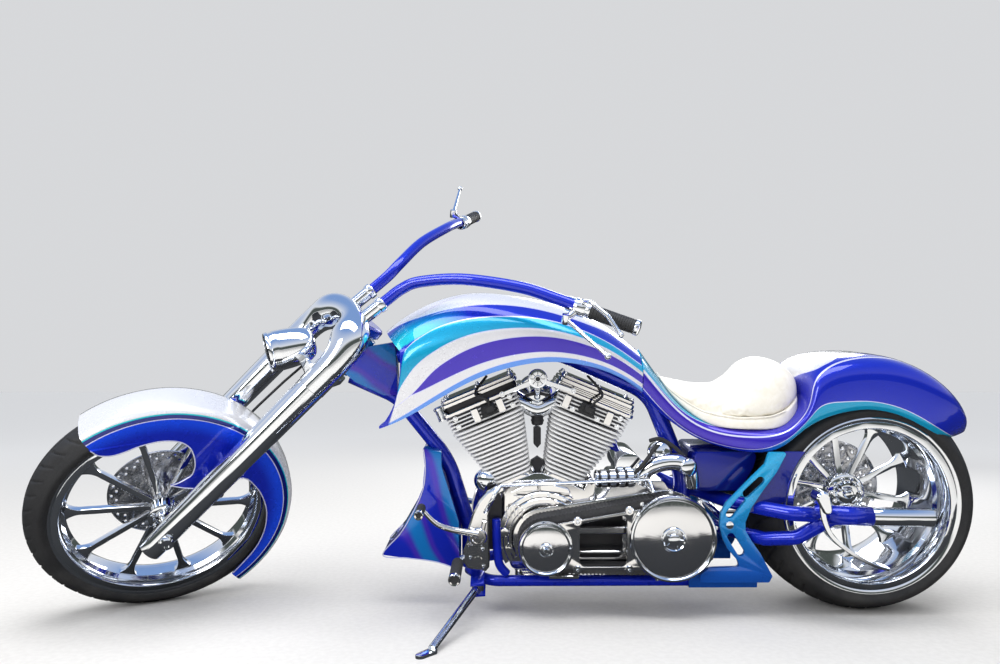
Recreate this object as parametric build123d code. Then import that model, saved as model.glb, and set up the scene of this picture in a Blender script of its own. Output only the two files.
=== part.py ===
from build123d import *
import math
import os

# Long low motorcycle with a raked fork, a stretched tank and a wide rear wheel.
# It is modelled upright in millimetres: +X rearward, +Y to its right, +Z up, with the origin on the
# floor below the rear axle. At the end the whole machine leans onto its side stand with the fork
# turned to its left stop, and is shifted so that the origin is the middle of its footprint.

# Wheels and tyres
WHEELBASE = 2116
REAR_TYRE_R = 334
REAR_TYRE_HALF = 150
REAR_RIM_R = 247
REAR_RIM_HALF = 142
FRONT_TYRE_R = 350
FRONT_TYRE_HALF = 60
FRONT_RIM_R = 281
FRONT_RIM_HALF = 50
FLANGE_RISE = 14
FLANGE_THICK = 7
BARREL_THICK = 9
SPOKES = 10

# Steering and parked pose
RAKE = 41.3
AXLE_AHEAD = 150
FORK_RAKE = 45.6
LEG_HALF = 143
STEER_LOCK = 35.5
LEAN = 5.96

# Fork
LEG_R = 42
LEG_FOOT_R = 33
LEG_BELOW_AXLE = 62
LEG_ABOVE_AXLE = 655
SHOULDER_R = 56
FRONT_AXLE_R = 12
FRONT_AXLE_BORE_R = 7
TREE_LOW = 596
TREE_THICK = 34
TREE_GAP = 6
NECK_LOW = TREE_LOW + TREE_THICK + TREE_GAP
NECK_HIGH = 770
CROWN_THICK = 36
STEM_R = 17
FENDER_HALF = 76
FENDER_WALL = 6
FENDER_R = 382
FENDER_BOSSES = (176, 236)
DISC_Y = 62
HOSE_R = 4
HOSE = [(161, 96, 70), (216, 88, 155), (301, 84, 240), (381, 80, 315), (440, 76, 366)]

# Headlight: middle of its face from the front axle, its axis pointing rearward, its wall, recess and depth
LAMP_OFFSET = (328, 0, 462)
LAMP_AXIS = Vector(0.972, 0, 0.234)
LAMP_R = 58
LAMP_WALL = 5
LAMP_RECESS = 8
LAMP_DEEP = 128

# Handlebar of the right side, from the front axle; a lever is its pivot's offset from the perch and its
# end, right then left
RISER_BASE = (620, 54, 585)
RISER_TOP = (722, 57, 662)
BAR_POINTS = [(857, 175, 714), (982, 284, 718), (1130, 439, 693)]
GRIP_END = (1212, 535, 679)
LEVERS = [((-40, 4, 34), (1142, 540, 791)), ((-48, 6, -26), (1116, 560, 615))]
BLADE = [(1104, 428, 722), (1100, 466, 737), (1128, 516, 713), (1148, 560, 674)]
BAR_R = 17
RISER_R = 20
GRIP_R = 20

# Frame: gusset and upper tube ends are given from the lower end of the head tube
HEAD_TUBE_R = 34
RAIL_HALF = 110
RAIL_R = 16
RAIL_Z = 106
STRUT_Y = 165
STRUT_THICK = 14
TUBE_R = 22
GUSSET_HALF = 26
GUSSET = [(18, -7), (80, 67), (179, 83), (186, -79), (144, -81), (56, -39)]
BACKBONE_HEAD = [(184, 43), (404, 71)]
BACKBONE = [(-905, 0, 778), (-622, 0, 652), (-520, 0, 400), (-520, 0, RAIL_Z)]
BACKBONE_BENDS = [150, 250, 140, 150]
BACKBONE_R = 26
DOWNTUBE_HEAD = [(39, -24), (184, -89)]
DOWNTUBE = [(-1245, 0, 445), (-1182, 0, 240), (-1182, 0, RAIL_Z + 6)]
DOWNTUBE_BENDS = [150, 300, 60]
CONTROL_BAR = (-1150, 214)
CONTROL_Y = 126
STRUT = [
    (-312, 500), (-324, 464), (-364, 425), (-404, 384), (-435, 352), (-450, 322), (-454, 288), (-446, 253),
    (-431, 221), (-401, 186), (-395, 167), (-482, 164), (-508, 145), (-508, 122), (-310, 122), (-300, 140),
    (-335, 206), (-362, 244), (-379, 273), (-380, 297), (-363, 340), (-332, 387), (-292, 442), (-262, 500),
]
STRUT_SLOTS = [((-338, 418), (-377, 381), 12), ((-392, 362), (-424, 322), 12), ((-421, 256), (-392, 210), 11)]
CHIN_HALF = 70
CHIN_WALL = 5
CHIN = [(-1317, 491), (-1312, 442), (-1318, 375), (-1344, 311), (-1387, 237), (-1442, 170), (-1366, 160),
        (-1281, 148), (-1210, 124), (-1210, 271), (-1262, 440), (-1262, 482)]
CHIN_INNER = [(-1305, 430), (-1312, 375), (-1338, 311), (-1380, 240), (-1424, 178), (-1366, 168),
              (-1281, 156), (-1150, 130), (-1150, 300), (-1260, 430)]

# Tank slices: y, nose x, nose z, crest x, crest z, tail x, tail z, lift of the underside
TANK_SLICES = [
    (0, -1415, 868, -1150, 968, -610, 745, 0),
    (75, -1425, 842, -1135, 944, -615, 740, 0),
    (122, -1420, 800, -1075, 884, -630, 728, 0),
    (150, -1395, 762, -1060, 838, -700, 716, 14),
]
TANK_PLAN = [(-1490, 70), (-1420, 120), (-1330, 151), (-980, 151), (-840, 142), (-740, 124), (-640, 104)]
TANK_REAR = -662
TUNNEL = [(-1500, 500), (-1500, 842), (-1400, 842), (-1200, 868), (-950, 850), (-640, 706), (-640, 500)]
TUNNEL_HALF = 92

# Tail body and seat, in side view and as (x, half width) in plan; the front points are fixed to the tank's
# end, the rear ones are given over the crown of the rear tyre
SEAT_LINE_FRONT = [(-610, 712), (-578, 656), (-524, 600)]
SEAT_LINE_REAR = [(-467, -105), (-435, -111), (-264, -111), (-206, -54), (-178, -23), (-178, 22), (-200, 62)]
SEAT_TOP_FRONT = [(-604, 722), (-554, 686), (-495, 671)]
SEAT_TOP_REAR = [(-436, 0), (-377, 27), (-342, 86), (-289, 100), (-230, 80), (-206, 60)]
TAIL_HALF = 172
TAIL_WALL = 12
TAIL_PLAN = [(-700, 100), (-560, 88), (-440, 110), (-330, 160), (-250, 172), (100, 172), (190, 160),
             (260, 132), (330, 80)]
SEAT_PLAN = [(-615, 40), (-560, 62), (-460, 90), (-380, 124), (-300, 140), (-220, 128), (-170, 80)]

# Engine and drive
CRANK = (-955, 230)
CLUTCH = (-593, 258)
CASE_HALF = 78
CYLINDER_BASE = (-971, 230)
CYLINDER_TILT = 22.5
CYL_START = 180
CYL_FINS = 13
FIN_PITCH = 15
FIN_THICK = 5
INTAKE_Z = 640
SWING_PIVOT = (-426, 291)
PIVOT_R = 11
SWINGARM_Y = 178
SWINGARM_THICK = 28
SWINGARM = [(-462, -72), (-462, -14), (-200, 78), (20, 62), (62, 0), (20, -62), (-200, -88)]
FINAL_R = 108
REAR_DISC_Y = 108
PIPE_R = 21
COLLECTOR_R = 27
STRAP_Y = -265
STRAP_HOLES = 20
STRAP_HOLE_R = 3

# Side stand, its foot given over the floor of the leaning machine
STAND_PIVOT = Vector(-1150, -152, 104)
STAND_AXIS = Vector(-0.083, -0.2, 0.951)
STAND_FOOT = (-1258, -436)
STAND_PIN_R = 6
KNUCKLE_HALF = 14

GAP = 0.3
UPWARD = (Align.CENTER, Align.CENTER, Align.MIN)


def side(y):
    """Plane of a side view seen from the left, at one distance from the middle."""
    return Plane(origin=(0, y, 0), x_dir=(1, 0, 0), z_dir=(0, -1, 0))


def slab(face, y_left, y_right):
    """A side-view face made thick, from y_left to y_right."""
    return extrude(side(y_right) * face, amount=y_right - y_left)


def outline(points, radius=0):
    """Closed face through points, with its corners rounded where a radius is given."""
    if radius:
        return make_face(FilletPolyline(*points, radius=radius, close=True).edges())
    return make_face(Polyline(*points, close=True).edges())


def arcs(*points):
    """Chain of arcs: end, middle, end, middle, end."""
    return [ThreePointArc(*points[i : i + 3]) for i in range(0, len(points) - 2, 2)]


def rod(start, end, radius, end_radius=None):
    """Round bar or cone between two points."""
    start, end = Vector(start), Vector(end)
    length = (end - start).length
    foot = Plane(origin=start, z_dir=end - start)
    if end_radius is None:
        return foot * Cylinder(radius, length, align=UPWARD)
    return foot * Cone(radius, end_radius, length, align=UPWARD)


def tube(points, radii, radius):
    """Round bar along straight runs joined by arcs."""
    path = FilletPolyline(*points, radius=radii)
    return sweep(Plane(origin=path @ 0, z_dir=path % 0) * Circle(radius), path=path)


def turned(face):
    """Face drawn as (across, radius), turned round the wheel's axle."""
    return revolve(Plane.YZ * face, axis=Axis.Y)


def both(shape):
    """Shape together with its mirror image on the other side of the machine."""
    return shape + mirror(shape, about=Plane.XZ)


def polar(radius, degrees, centre=(-WHEELBASE, FRONT_TYRE_R)):
    """Point in side view at a radius and angle round a centre, 90 degrees being up."""
    angle = math.radians(degrees)
    return centre[0] + radius * math.cos(angle), centre[1] + radius * math.sin(angle)


def off_tread(gap, degrees):
    """Point in side view at a distance from the rear tyre's tread, at an angle round its axle."""
    return polar(REAR_TYRE_R + gap, degrees, (0, REAR_TYRE_R))


def raised(points, height):
    """Side-view points lifted by one height."""
    return [(x, z + height) for x, z in points]


def box(x0, x1, y0, y1, z0, z1):
    """Box between two corners."""
    return Pos((x0 + x1) / 2, (y0 + y1) / 2, (z0 + z1) / 2) * Box(x1 - x0, y1 - y0, z1 - z0)


# Wheels, each round its own axle at the origin


def tyre(radius, half, rim_r, rim_half, shoulder):
    """Tyre ring seated between the rim's flanges; shoulder is (across, radius)."""
    seat_r = rim_r - FLANGE_RISE
    bead = rim_half - FLANGE_THICK
    a, r = shoulder
    wall = ((rim_r + r) / 2) + 4
    section = [
        Line((-bead, seat_r), (-bead, rim_r)),
        *arcs((-bead, rim_r), (-half, wall), (-a, r), (0, radius), (a, r), (half, wall), (bead, rim_r)),
        Line((bead, rim_r), (bead, seat_r)),
        Line((bead, seat_r), (-bead, seat_r)),
    ]
    return turned(make_face(section))


def rim(rim_r, rim_half, well):
    """Rim barrel with a flange at each edge and a well in the middle."""
    seat_r = rim_r - FLANGE_RISE
    bead = rim_half - FLANGE_THICK
    inner = seat_r - BARREL_THICK
    return turned(
        outline(
            [
                (-rim_half, rim_r),
                (-bead, rim_r),
                (-bead, seat_r),
                (bead, seat_r),
                (bead, rim_r),
                (rim_half, rim_r),
                (rim_half, inner + 6),
                (rim_half - 12, inner),
                (well, inner),
                (well - 10, inner - 8),
                (10 - well, inner - 8),
                (-well, inner),
                (12 - rim_half, inner),
                (-rim_half, inner + 6),
            ]
        )
    )


def spokes(inner_r, outer_r, waist, flare, first):
    """Flat star of spokes, each with a straight waist and a flared foot on the rim."""
    neck = outer_r - 1.6 * flare
    edge = [
        Line((inner_r, -waist), (neck, -waist)),
        ThreePointArc((neck, -waist), (outer_r - 0.45 * flare, -waist - 0.28 * flare), (outer_r, -flare)),
        Line((outer_r, -flare), (outer_r, flare)),
        ThreePointArc((outer_r, flare), (outer_r - 0.45 * flare, waist + 0.28 * flare), (neck, waist)),
        Line((neck, waist), (inner_r, waist)),
        Line((inner_r, waist), (inner_r, -waist)),
    ]
    one = make_face(edge)
    return [Rot(0, 0, first + 360 / SPOKES * i) * one for i in range(SPOKES)]


def wheel(rim_r, rim_half, hub_r, hub_y, spoke_y, spoke_thick, waist, flare, bore_r):
    """Rim, star of spokes and hub in one piece, with a bore for its axle."""
    barrel_inner = rim_r - FLANGE_RISE - BARREL_THICK
    piece = rim(rim_r, rim_half, 0.6 * rim_half)
    for face in spokes(hub_r - 6, barrel_inner - 4, waist, flare, 98):
        piece += slab(face, spoke_y - spoke_thick / 2, spoke_y + spoke_thick / 2)
    piece += turned(outline([(hub_y[0], 0), (hub_y[1], 0), (hub_y[1], hub_r), (hub_y[0], hub_r)]))
    return piece - rod((0, hub_y[0] - 1, 0), (0, hub_y[1] + 1, 0), bore_r)


def ring(y0, y1, r_in, r_out):
    """Flat ring round the axle."""
    return turned(outline([(y0, r_in), (y1, r_in), (y1, r_out), (y0, r_out)]))


def disc(y0, y1, r_in, r_out, rows, hole_r):
    """Brake disc with rings of cooling holes: rows of (radius, count, first angle)."""
    piece = ring(y0, y1, r_in, r_out)
    for radius, count, first in rows:
        for i in range(count):
            angle = math.radians(first + 360 / count * i)
            x, z = radius * math.cos(angle), radius * math.sin(angle)
            piece -= rod((x, y0 - 1, z), (x, y1 + 1, z), hole_r)
    return piece


REAR_AXLE = Pos(0, 0, REAR_TYRE_R)
FRONT_AXLE = Pos(-WHEELBASE, 0, FRONT_TYRE_R)
REAR_HUB_Y = (20, 138)
REAR_BORE_R = 20
REAR_AXLE_BORE_R = 13

rear_holes = [(76, 16, 0), (100, 20, 6), (126, 24, 0)]
rear = {
    "rear_tyre": tyre(REAR_TYRE_R, REAR_TYRE_HALF, REAR_RIM_R, REAR_RIM_HALF, (125, REAR_TYRE_R - 29)),
    "rear_wheel": wheel(REAR_RIM_R, REAR_RIM_HALF, 52, REAR_HUB_Y, 55, 18, 9, 34, REAR_BORE_R + GAP),
    "rear_disc": disc(REAR_DISC_Y, REAR_DISC_Y + 6, 52 + GAP, 146, rear_holes, 5),
}
front = {
    "front_tyre": tyre(FRONT_TYRE_R, FRONT_TYRE_HALF, FRONT_RIM_R, FRONT_RIM_HALF, (48, FRONT_TYRE_R - 25)),
    "front_wheel": wheel(FRONT_RIM_R, FRONT_RIM_HALF, 36, (-62, 76), -6, 18, 8, 32, FRONT_AXLE_R + GAP),
    "front_disc": disc(DISC_Y, DISC_Y + 5, 36 + GAP, 146, [(122, 24, 0), (134, 24, 7.5)], 4),
}
rear["rear_axle"] = rod((0, 6, 0), (0, 236, 0), REAR_BORE_R) - rod((0, 0, 0), (0, 240, 0), REAR_AXLE_BORE_R)
rear["rear_axle"] += ring(212, 236, REAR_BORE_R - 2, FINAL_R - GAP)

# Steering axis: it passes behind the front axle and rises rearward
rake = math.radians(RAKE)
STEER_DIR = Vector(math.sin(rake), 0, math.cos(rake))
STEER_FWD = Vector(-math.cos(rake), 0, math.sin(rake))
AXLE_POINT = Vector(-WHEELBASE, 0, FRONT_TYRE_R)
STEER_BASE = AXLE_POINT - STEER_FWD * AXLE_AHEAD
leg_rake = math.radians(FORK_RAKE)
LEG_DIR = Vector(math.sin(leg_rake), 0, math.cos(leg_rake))


def from_axle(*offset):
    """Point given from the middle of the front axle."""
    return AXLE_POINT + Vector(*offset)


def on_axis(up):
    """Point on the steering axis, measured up from the height of the axle."""
    return STEER_BASE + STEER_DIR * up


def on_leg(up, y=0):
    """Point on the plane of the fork legs, measured up from the axle."""
    return AXLE_POINT + LEG_DIR * up + Vector(0, y, 0)


# Fork legs, joined at the top by one rounded arch that swells at its shoulders
fork = {}
axle_line = [(-WHEELBASE, y, FRONT_TYRE_R) for y in (-LEG_HALF - 60, LEG_HALF + 60)]
leg = rod(on_leg(-LEG_BELOW_AXLE, LEG_HALF), on_leg(LEG_ABOVE_AXLE, LEG_HALF), LEG_FOOT_R, LEG_R)
for up in FENDER_BOSSES:
    x, z = on_leg(up).X, on_leg(up).Z
    leg += rod((x, FENDER_HALF, z), (x, LEG_HALF, z), 11)
leg -= rod(*axle_line, FRONT_AXLE_R + GAP)
fork["fork_legs"] = both(leg)
fork["front_axle"] = rod(
    (-WHEELBASE, -LEG_HALF - 40, FRONT_TYRE_R), (-WHEELBASE, LEG_HALF + 40, FRONT_TYRE_R), FRONT_AXLE_R
) - rod(*axle_line, FRONT_AXLE_BORE_R)

arch_seat = Plane(origin=on_leg(LEG_ABOVE_AXLE), x_dir=(0, 1, 0), z_dir=Vector(0, 1, 0).cross(LEG_DIR))
arch_path = arch_seat * ThreePointArc((-LEG_HALF, 0), (0, LEG_HALF), (LEG_HALF, 0))
arch = sweep(Plane(origin=arch_path @ 0, z_dir=arch_path % 0) * Circle(LEG_R), path=arch_path)
for share in (0.26, 0.74):
    arch += Pos(*(arch_path @ share)) * Sphere(SHOULDER_R)
low_legs = (on_leg(TREE_LOW) - on_axis(TREE_LOW)).dot(STEER_FWD)


def tree(up, thick, boss_r, spread, ahead, end_r):
    """Plate square to the steering axis: a boss on the stem joined to a circle on each side."""
    seat = Plane(origin=on_axis(up), x_dir=(0, 1, 0), z_dir=STEER_DIR)
    ends = [Pos(y, ahead) * Circle(end_r) for y in (-spread, spread)]
    face = make_hull([*Circle(boss_r).edges(), *ends[0].edges(), *ends[1].edges()])
    return extrude(seat * face, amount=thick)


crown_up = NECK_HIGH + TREE_GAP
arch += tree(crown_up, CROWN_THICK, 32, 64, 92, 34)
fork["fork_arch"] = arch
low_tree = tree(TREE_LOW, TREE_THICK, 44, LEG_HALF, low_legs, 50) - fork["fork_legs"]
low_tree += rod(on_axis(TREE_LOW + TREE_THICK), on_axis(crown_up), STEM_R)
fork["fork_tree"] = low_tree

# Headlight bowl on an arm from the lower tree, and its lens
LAMP = from_axle(*LAMP_OFFSET)
lamp_seat = Plane(origin=LAMP, x_dir=(0, 1, 0), z_dir=LAMP_AXIS)
lens_r = LAMP_R - LAMP_WALL
bowl_edge = [
    Line((0, LAMP_RECESS), (0, LAMP_DEEP)),
    Line((0, LAMP_DEEP), (15, LAMP_DEEP)),
    ThreePointArc((15, LAMP_DEEP), (0.78 * LAMP_R, 0.77 * LAMP_DEEP), (LAMP_R, 0)),
    Line((LAMP_R, 0), (lens_r, 0)),
    Line((lens_r, 0), (lens_r, LAMP_RECESS)),
    Line((lens_r, LAMP_RECESS), (0, LAMP_RECESS)),
]
bowl = lamp_seat * revolve(Plane.XZ * make_face(bowl_edge), axis=Axis.Z)
tree_front = on_axis(TREE_LOW + TREE_THICK / 2) + STEER_FWD * (low_legs + 6)
fork["headlight_shell"] = bowl + rod(LAMP + LAMP_AXIS * 80, tree_front, 13) - low_tree
lens = Pos(0, 0, LAMP_RECESS / 2 - 4) * Cylinder(lens_r - GAP, LAMP_RECESS + 8 - 2 * GAP)
lens &= Pos(0, 0, 170) * Sphere(177)
fork["headlight_lens"] = lamp_seat * lens

# Handlebars: on each side a riser, a long swept bar, a grip and a perch with its ball-ended lever
bar_start, bar_middle, bar_end = [from_axle(*point) for point in BAR_POINTS]
riser_base, riser_top, grip_end = from_axle(*RISER_BASE), from_axle(*RISER_TOP), from_axle(*GRIP_END)
grip_dir = (grip_end - bar_end).normalized()
riser_dir = (riser_top - riser_base).normalized()
riser_foot = riser_base - riser_dir * 40
bar_line = [tuple(point) for point in (riser_foot, riser_top, bar_start, bar_middle, bar_end)]
bar = tube(bar_line, [44, 90, 200], BAR_R)
handlebar = bar + rod(riser_foot, riser_base + riser_dir * 70, RISER_R)
handlebar = (handlebar - arch).solids().sort_by(SortBy.VOLUME)[-1]
grip = rod(bar_end, grip_end, GRIP_R) + rod(grip_end, grip_end + grip_dir * 14, GRIP_R + 2) - bar
bar_dir = (bar_end - bar_middle).normalized()
perch_at = bar_end - bar_dir * 34
clamp = rod(perch_at - bar_dir * 16, perch_at + bar_dir * 16, BAR_R + 8) - rod(
    perch_at - bar_dir * 60, perch_at + bar_dir * 33.9, BAR_R + GAP
)
levers = []
for reach, end in LEVERS:
    pivot = perch_at + Vector(*reach)
    lever = clamp + rod(perch_at + Vector(*reach) * 0.42, pivot, 10)
    lever += rod(pivot + Vector(0, 0, -14), pivot + Vector(0, 0, 14), 11)
    tip = from_axle(*end)
    lever += rod(pivot, tip, 6, 4.5) + Pos(*tip) * Sphere(9)
    levers.append(lever - bar)
blade_line = [tuple(from_axle(*point)) for point in BLADE]
blade = rod(perch_at, blade_line[0], 9) + tube(blade_line, [20, 60], 6) + Pos(*blade_line[-1]) * Sphere(8)
fork["levers"] = levers[0] + mirror(levers[1] + (blade - bar), about=Plane.XZ)
fork["handlebars"] = both(handlebar)
fork["grips"] = both(grip)

# Front fender: wraps the tyre, with deep sides and a lobe that reaches the fork legs
fender_edge = [
    ThreePointArc(polar(374, -57), polar(FENDER_R + 2, 30), polar(372, 119)),
    Line(polar(372, 119), polar(310, 121)),
    ThreePointArc(polar(310, 121), polar(268, 114), polar(262, 106)),
    ThreePointArc(polar(262, 106), polar(268, 86), polar(264, 76)),
    ThreePointArc(polar(264, 76), polar(222, 64), polar(165, 58)),
    ThreePointArc(polar(165, 58), polar(128, 68), polar(119, 77)),
    ThreePointArc(polar(119, 77), polar(116, 60), polar(150, 34)),
    Line(polar(150, 34), polar(247, 22)),
    ThreePointArc(polar(247, 22), polar(277, 2), polar(300, -24)),
    Line(polar(300, -24), polar(310, -50)),
    ThreePointArc(polar(310, -50), polar(345, -56), polar(374, -57)),
]
fender = slab(make_face(fender_edge), -FENDER_HALF, FENDER_HALF)
room = FENDER_HALF - FENDER_WALL
room_r = FENDER_R - 12
fender -= FRONT_AXLE * turned(
    outline([(-room, 0), (room, 0), (room, room_r - 26), (room - 26, room_r), (26 - room, room_r),
             (-room, room_r - 26)])
)
fork["front_fender"] = fender

# Front brake: caliper over the disc, hose up the right leg to the lower tree
caliper_x, caliper_z = polar(134, -4)
caliper = slab(Pos(caliper_x, caliper_z) * RectangleRounded(84, 92, 14), DISC_Y - 16, DISC_Y + 22)
caliper -= FRONT_AXLE * ring(DISC_Y - 4, DISC_Y + 9, 0, 152)
leg_touch = on_leg(70) + Vector(30, LEG_HALF - 20, 10)
caliper += rod((caliper_x, DISC_Y + 16, caliper_z + 30), leg_touch, 10)
fork["front_caliper"] = caliper - fork["fork_legs"]
hose_line = [tuple(from_axle(*point)) for point in HOSE]
hose_start = (caliper_x + 12, DISC_Y + 22, caliper_z + 20)
hose = tube([hose_start, *hose_line], [40, 120, 160, 120], HOSE_R)
fork["brake_hose"] = hose - low_tree - fork["front_caliper"] - fork["fork_legs"]

# Frame: head tube with its gusset, backbone, front downtube, lower rails, rear strut plates
root = {}
neck_low = on_axis(NECK_LOW)


def frame_bar(head, points, bends, radius):
    """Frame tube that starts at offsets from the head tube and goes on through fixed points."""
    start = [(neck_low.X + x, 0, neck_low.Z + z) for x, z in head]
    return tube([*start, *points], bends, radius)


neck = rod(neck_low, on_axis(NECK_HIGH), HEAD_TUBE_R)
neck += slab(outline([(neck_low.X + x, neck_low.Z + z) for x, z in GUSSET]), -GUSSET_HALF, GUSSET_HALF)
neck -= rod(on_axis(NECK_LOW - 1), on_axis(NECK_HIGH + 1), STEM_R + GAP)
rail_line = [(DOWNTUBE[-1][0], 14, RAIL_Z), (-1120, RAIL_HALF, RAIL_Z), (-508, RAIL_HALF, RAIL_Z)]
rail = tube(rail_line, [60], RAIL_R)
rail -= box(-1300, -900, -50, 0, 0, 300)
rail_left = mirror(rail, about=Plane.XZ)
backbone = frame_bar(BACKBONE_HEAD, BACKBONE, BACKBONE_BENDS, BACKBONE_R)
backbone_room = frame_bar(BACKBONE_HEAD, BACKBONE, BACKBONE_BENDS, BACKBONE_R + GAP)
backbone += rod((BACKBONE[-1][0], -RAIL_HALF, RAIL_Z), (BACKBONE[-1][0], RAIL_HALF, RAIL_Z), RAIL_R - 2)
backbone = backbone - neck - rail - rail_left
downtube = frame_bar(DOWNTUBE_HEAD, DOWNTUBE, DOWNTUBE_BENDS, TUBE_R)
downtube_room = frame_bar(DOWNTUBE_HEAD, DOWNTUBE, DOWNTUBE_BENDS, TUBE_R + GAP)
downtube += rod((CONTROL_BAR[0], -CONTROL_Y, CONTROL_BAR[1]), (CONTROL_BAR[0], CONTROL_Y, CONTROL_BAR[1]), 13)
downtube = downtube - neck - rail - rail_left
root["frame_neck"] = neck
root["frame_backbone"] = backbone
root["frame_downtube"] = downtube

strut_in, strut_out = STRUT_Y - STRUT_THICK / 2, STRUT_Y + STRUT_THICK / 2
strut = slab(outline(STRUT, 6), strut_in, strut_out)
for start, end, radius in STRUT_SLOTS:
    slot = make_hull([*(Pos(*start) * Circle(radius)).edges(), *(Pos(*end) * Circle(radius)).edges()])
    strut -= slab(slot, strut_in - 5, strut_out + 5)
strut += box(-500, -330, RAIL_HALF + 6, strut_in + 2, RAIL_Z + 16, RAIL_Z + 34)
strut += box(-530, -330, RAIL_HALF, RAIL_HALF + 22, RAIL_Z - 14, RAIL_Z + 34)
strut -= rod((SWING_PIVOT[0], 0, SWING_PIVOT[1]), (SWING_PIVOT[0], 300, SWING_PIVOT[1]), PIVOT_R + GAP)
strut = strut - rail - backbone
root["struts"] = both(strut)

# Chin fairing: thin shell in front of the downtube, open behind
chin = slab(outline(CHIN), -CHIN_HALF, CHIN_HALF)
chin -= slab(outline(CHIN_INNER), CHIN_WALL - CHIN_HALF, CHIN_HALF - CHIN_WALL)
chin -= downtube_room
root["chin_fairing"] = chin.solids().sort_by(SortBy.VOLUME)[-1]


# Tank: lofted across its width, from slices of a few arcs, with a tunnel over the backbone
def tank_slice(y, nose_x, nose_z, crest_x, crest_z, tail_x, tail_z, lift):
    """One side-view slice of the tank: front edge, crown, tail and the arched underside."""
    nose, crest, tail = (nose_x, nose_z), (crest_x, crest_z), (tail_x, tail_z)
    tip = (-1438 + lift, 562 + lift)
    heel = (tail_x, 612 + lift + (-610 - tail_x) * 0.9)
    belly = (-935, 760 + lift)
    edge = [
        ThreePointArc(tip, (-1376, 700), nose),
        ThreePointArc(nose, ((nose_x + crest_x) / 2 - 12, crest_z - 0.27 * (crest_z - nose_z)), crest),
        ThreePointArc(crest, ((tail_x + crest_x) / 2 + 10, crest_z - 0.27 * (crest_z - tail_z)), tail),
        Line(tail, heel),
        ThreePointArc(heel, (-780, 736 + lift), belly),
        ThreePointArc(belly, (-1190, 695 + lift), tip),
    ]
    return side(y) * make_face(edge)


def plan(rows, radius):
    """Tall block over a plan-view outline, given as (x, half width) from front to rear."""
    points = [*rows, *[(x, -y) for x, y in reversed(rows)]]
    return Pos(0, 0, 300) * extrude(outline(points, radius), amount=700)


slices = [(-y, *rest) for y, *rest in reversed(TANK_SLICES[1:])] + TANK_SLICES
tank = loft([tank_slice(*row) for row in slices]) & plan(TANK_PLAN, 20)
tank -= box(TANK_REAR, TANK_REAR + 200, -200, 200, 400, 1000)
tank -= slab(outline(TUNNEL), -TUNNEL_HALF, TUNNEL_HALF)
root["fuel_tank"] = tank

# Tail body: swoops down behind the tank, carries the seat and covers the rear wheel
front_x = TANK_REAR + GAP
crown = 2 * REAR_TYRE_R
seat_line = SEAT_LINE_FRONT + raised(SEAT_LINE_REAR, crown)
rump = off_tread(90, 63.4)
tip_top, tip_low = off_tread(46, 34.3), off_tread(8.4, 35)
arch_rear, arch_front, bay = off_tread(-20.3, 40.1), off_tread(-9.5, 141.5), off_tread(32.8, 154.1)
tail_edge = [
    Line((front_x, 664), (front_x, 783)),
    ThreePointArc((front_x, 783), (-634, 748), seat_line[0]),
    *Polyline(*seat_line).edges(),
    ThreePointArc(seat_line[-1], off_tread(108.5, 87.4), rump),
    ThreePointArc(rump, off_tread(71, 48.2), tip_top),
    Line(tip_top, tip_low),
    Line(tip_low, arch_rear),
    ThreePointArc(arch_rear, off_tread(-42.3, 93.9), arch_front),
    ThreePointArc(arch_front, off_tread(0.5, 148.2), bay),
    ThreePointArc(bay, (-414, 502), (-487, 520)),
    ThreePointArc((-487, 520), (-560, 568), (front_x, 664)),
]
tail = slab(make_face(tail_edge), -TAIL_HALF, TAIL_HALF)
tail &= plan(TAIL_PLAN, 20)
well_half = TAIL_HALF - TAIL_WALL
well_r = REAR_TYRE_R + 22
well = [(well_half, 0), (well_half, well_r - 38), (well_half - 26, well_r - 10), (60, well_r)]
well_left = [(-across, radius) for across, radius in well]
tail -= REAR_AXLE * turned(outline([well_left[0], *well, *reversed(well_left[1:])]))
tail -= backbone_room
tail -= root["struts"]
root["tail_body"] = tail

# Seat: plain body of the padded saddle
seat_top = SEAT_TOP_FRONT + raised(SEAT_TOP_REAR, crown)
seat = slab(outline([*seat_top, *raised(reversed(seat_line[:-1]), GAP)]), -150, 150)
seat &= plan(SEAT_PLAN, 15)
seat -= tail
root["seat"] = seat

# Engine: crankcase and two finned cylinders in a V, with rocker boxes
base_x, base_z = CYLINDER_BASE
cases = slab(outline([(-1090, 250), (-1075, 400), (-1000, 420), (-910, 420), (-800, 400), (-800, 200),
                      (-860, 128), (-1050, 128)], 20), -CASE_HALF, CASE_HALF)
cases += box(-1040, -880, GAP + RAIL_R - RAIL_HALF, RAIL_HALF - RAIL_R - GAP, RAIL_Z - 6, RAIL_Z + 8)
cases += box(-1020, -900, -60, 60, RAIL_Z + 8, 140)


def cylinder(sign):
    """Finned barrel and head, wider towards the top: sign -1 leans forward, 1 rearward."""
    piece = Pos(0, 0, CYL_START) * Cylinder(56, 215, align=UPWARD)
    for i in range(CYL_FINS):
        outer, inner = 64 + 4.6 * i, 58 + 3.4 * i
        fin = extrude(RectangleRounded(outer + inner, 170, 22), amount=FIN_THICK)
        piece += Pos(sign * (outer - inner) / 2, 0, CYL_START + 12 + i * FIN_PITCH) * fin
    piece += Pos(sign * 8, 0, CYL_START + 205) * Box(230, 150, 45, align=UPWARD)
    return Pos(base_x, 0, base_z) * Rot(0, sign * CYLINDER_TILT, 0) * piece


def deck(sign):
    """Room over the flat deck on which a cylinder stands."""
    room = Pos(0, 0, CYL_START) * Box(150, 300, 200, align=UPWARD)
    return Pos(base_x, 0, base_z) * Rot(0, sign * CYLINDER_TILT, 0) * room


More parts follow.
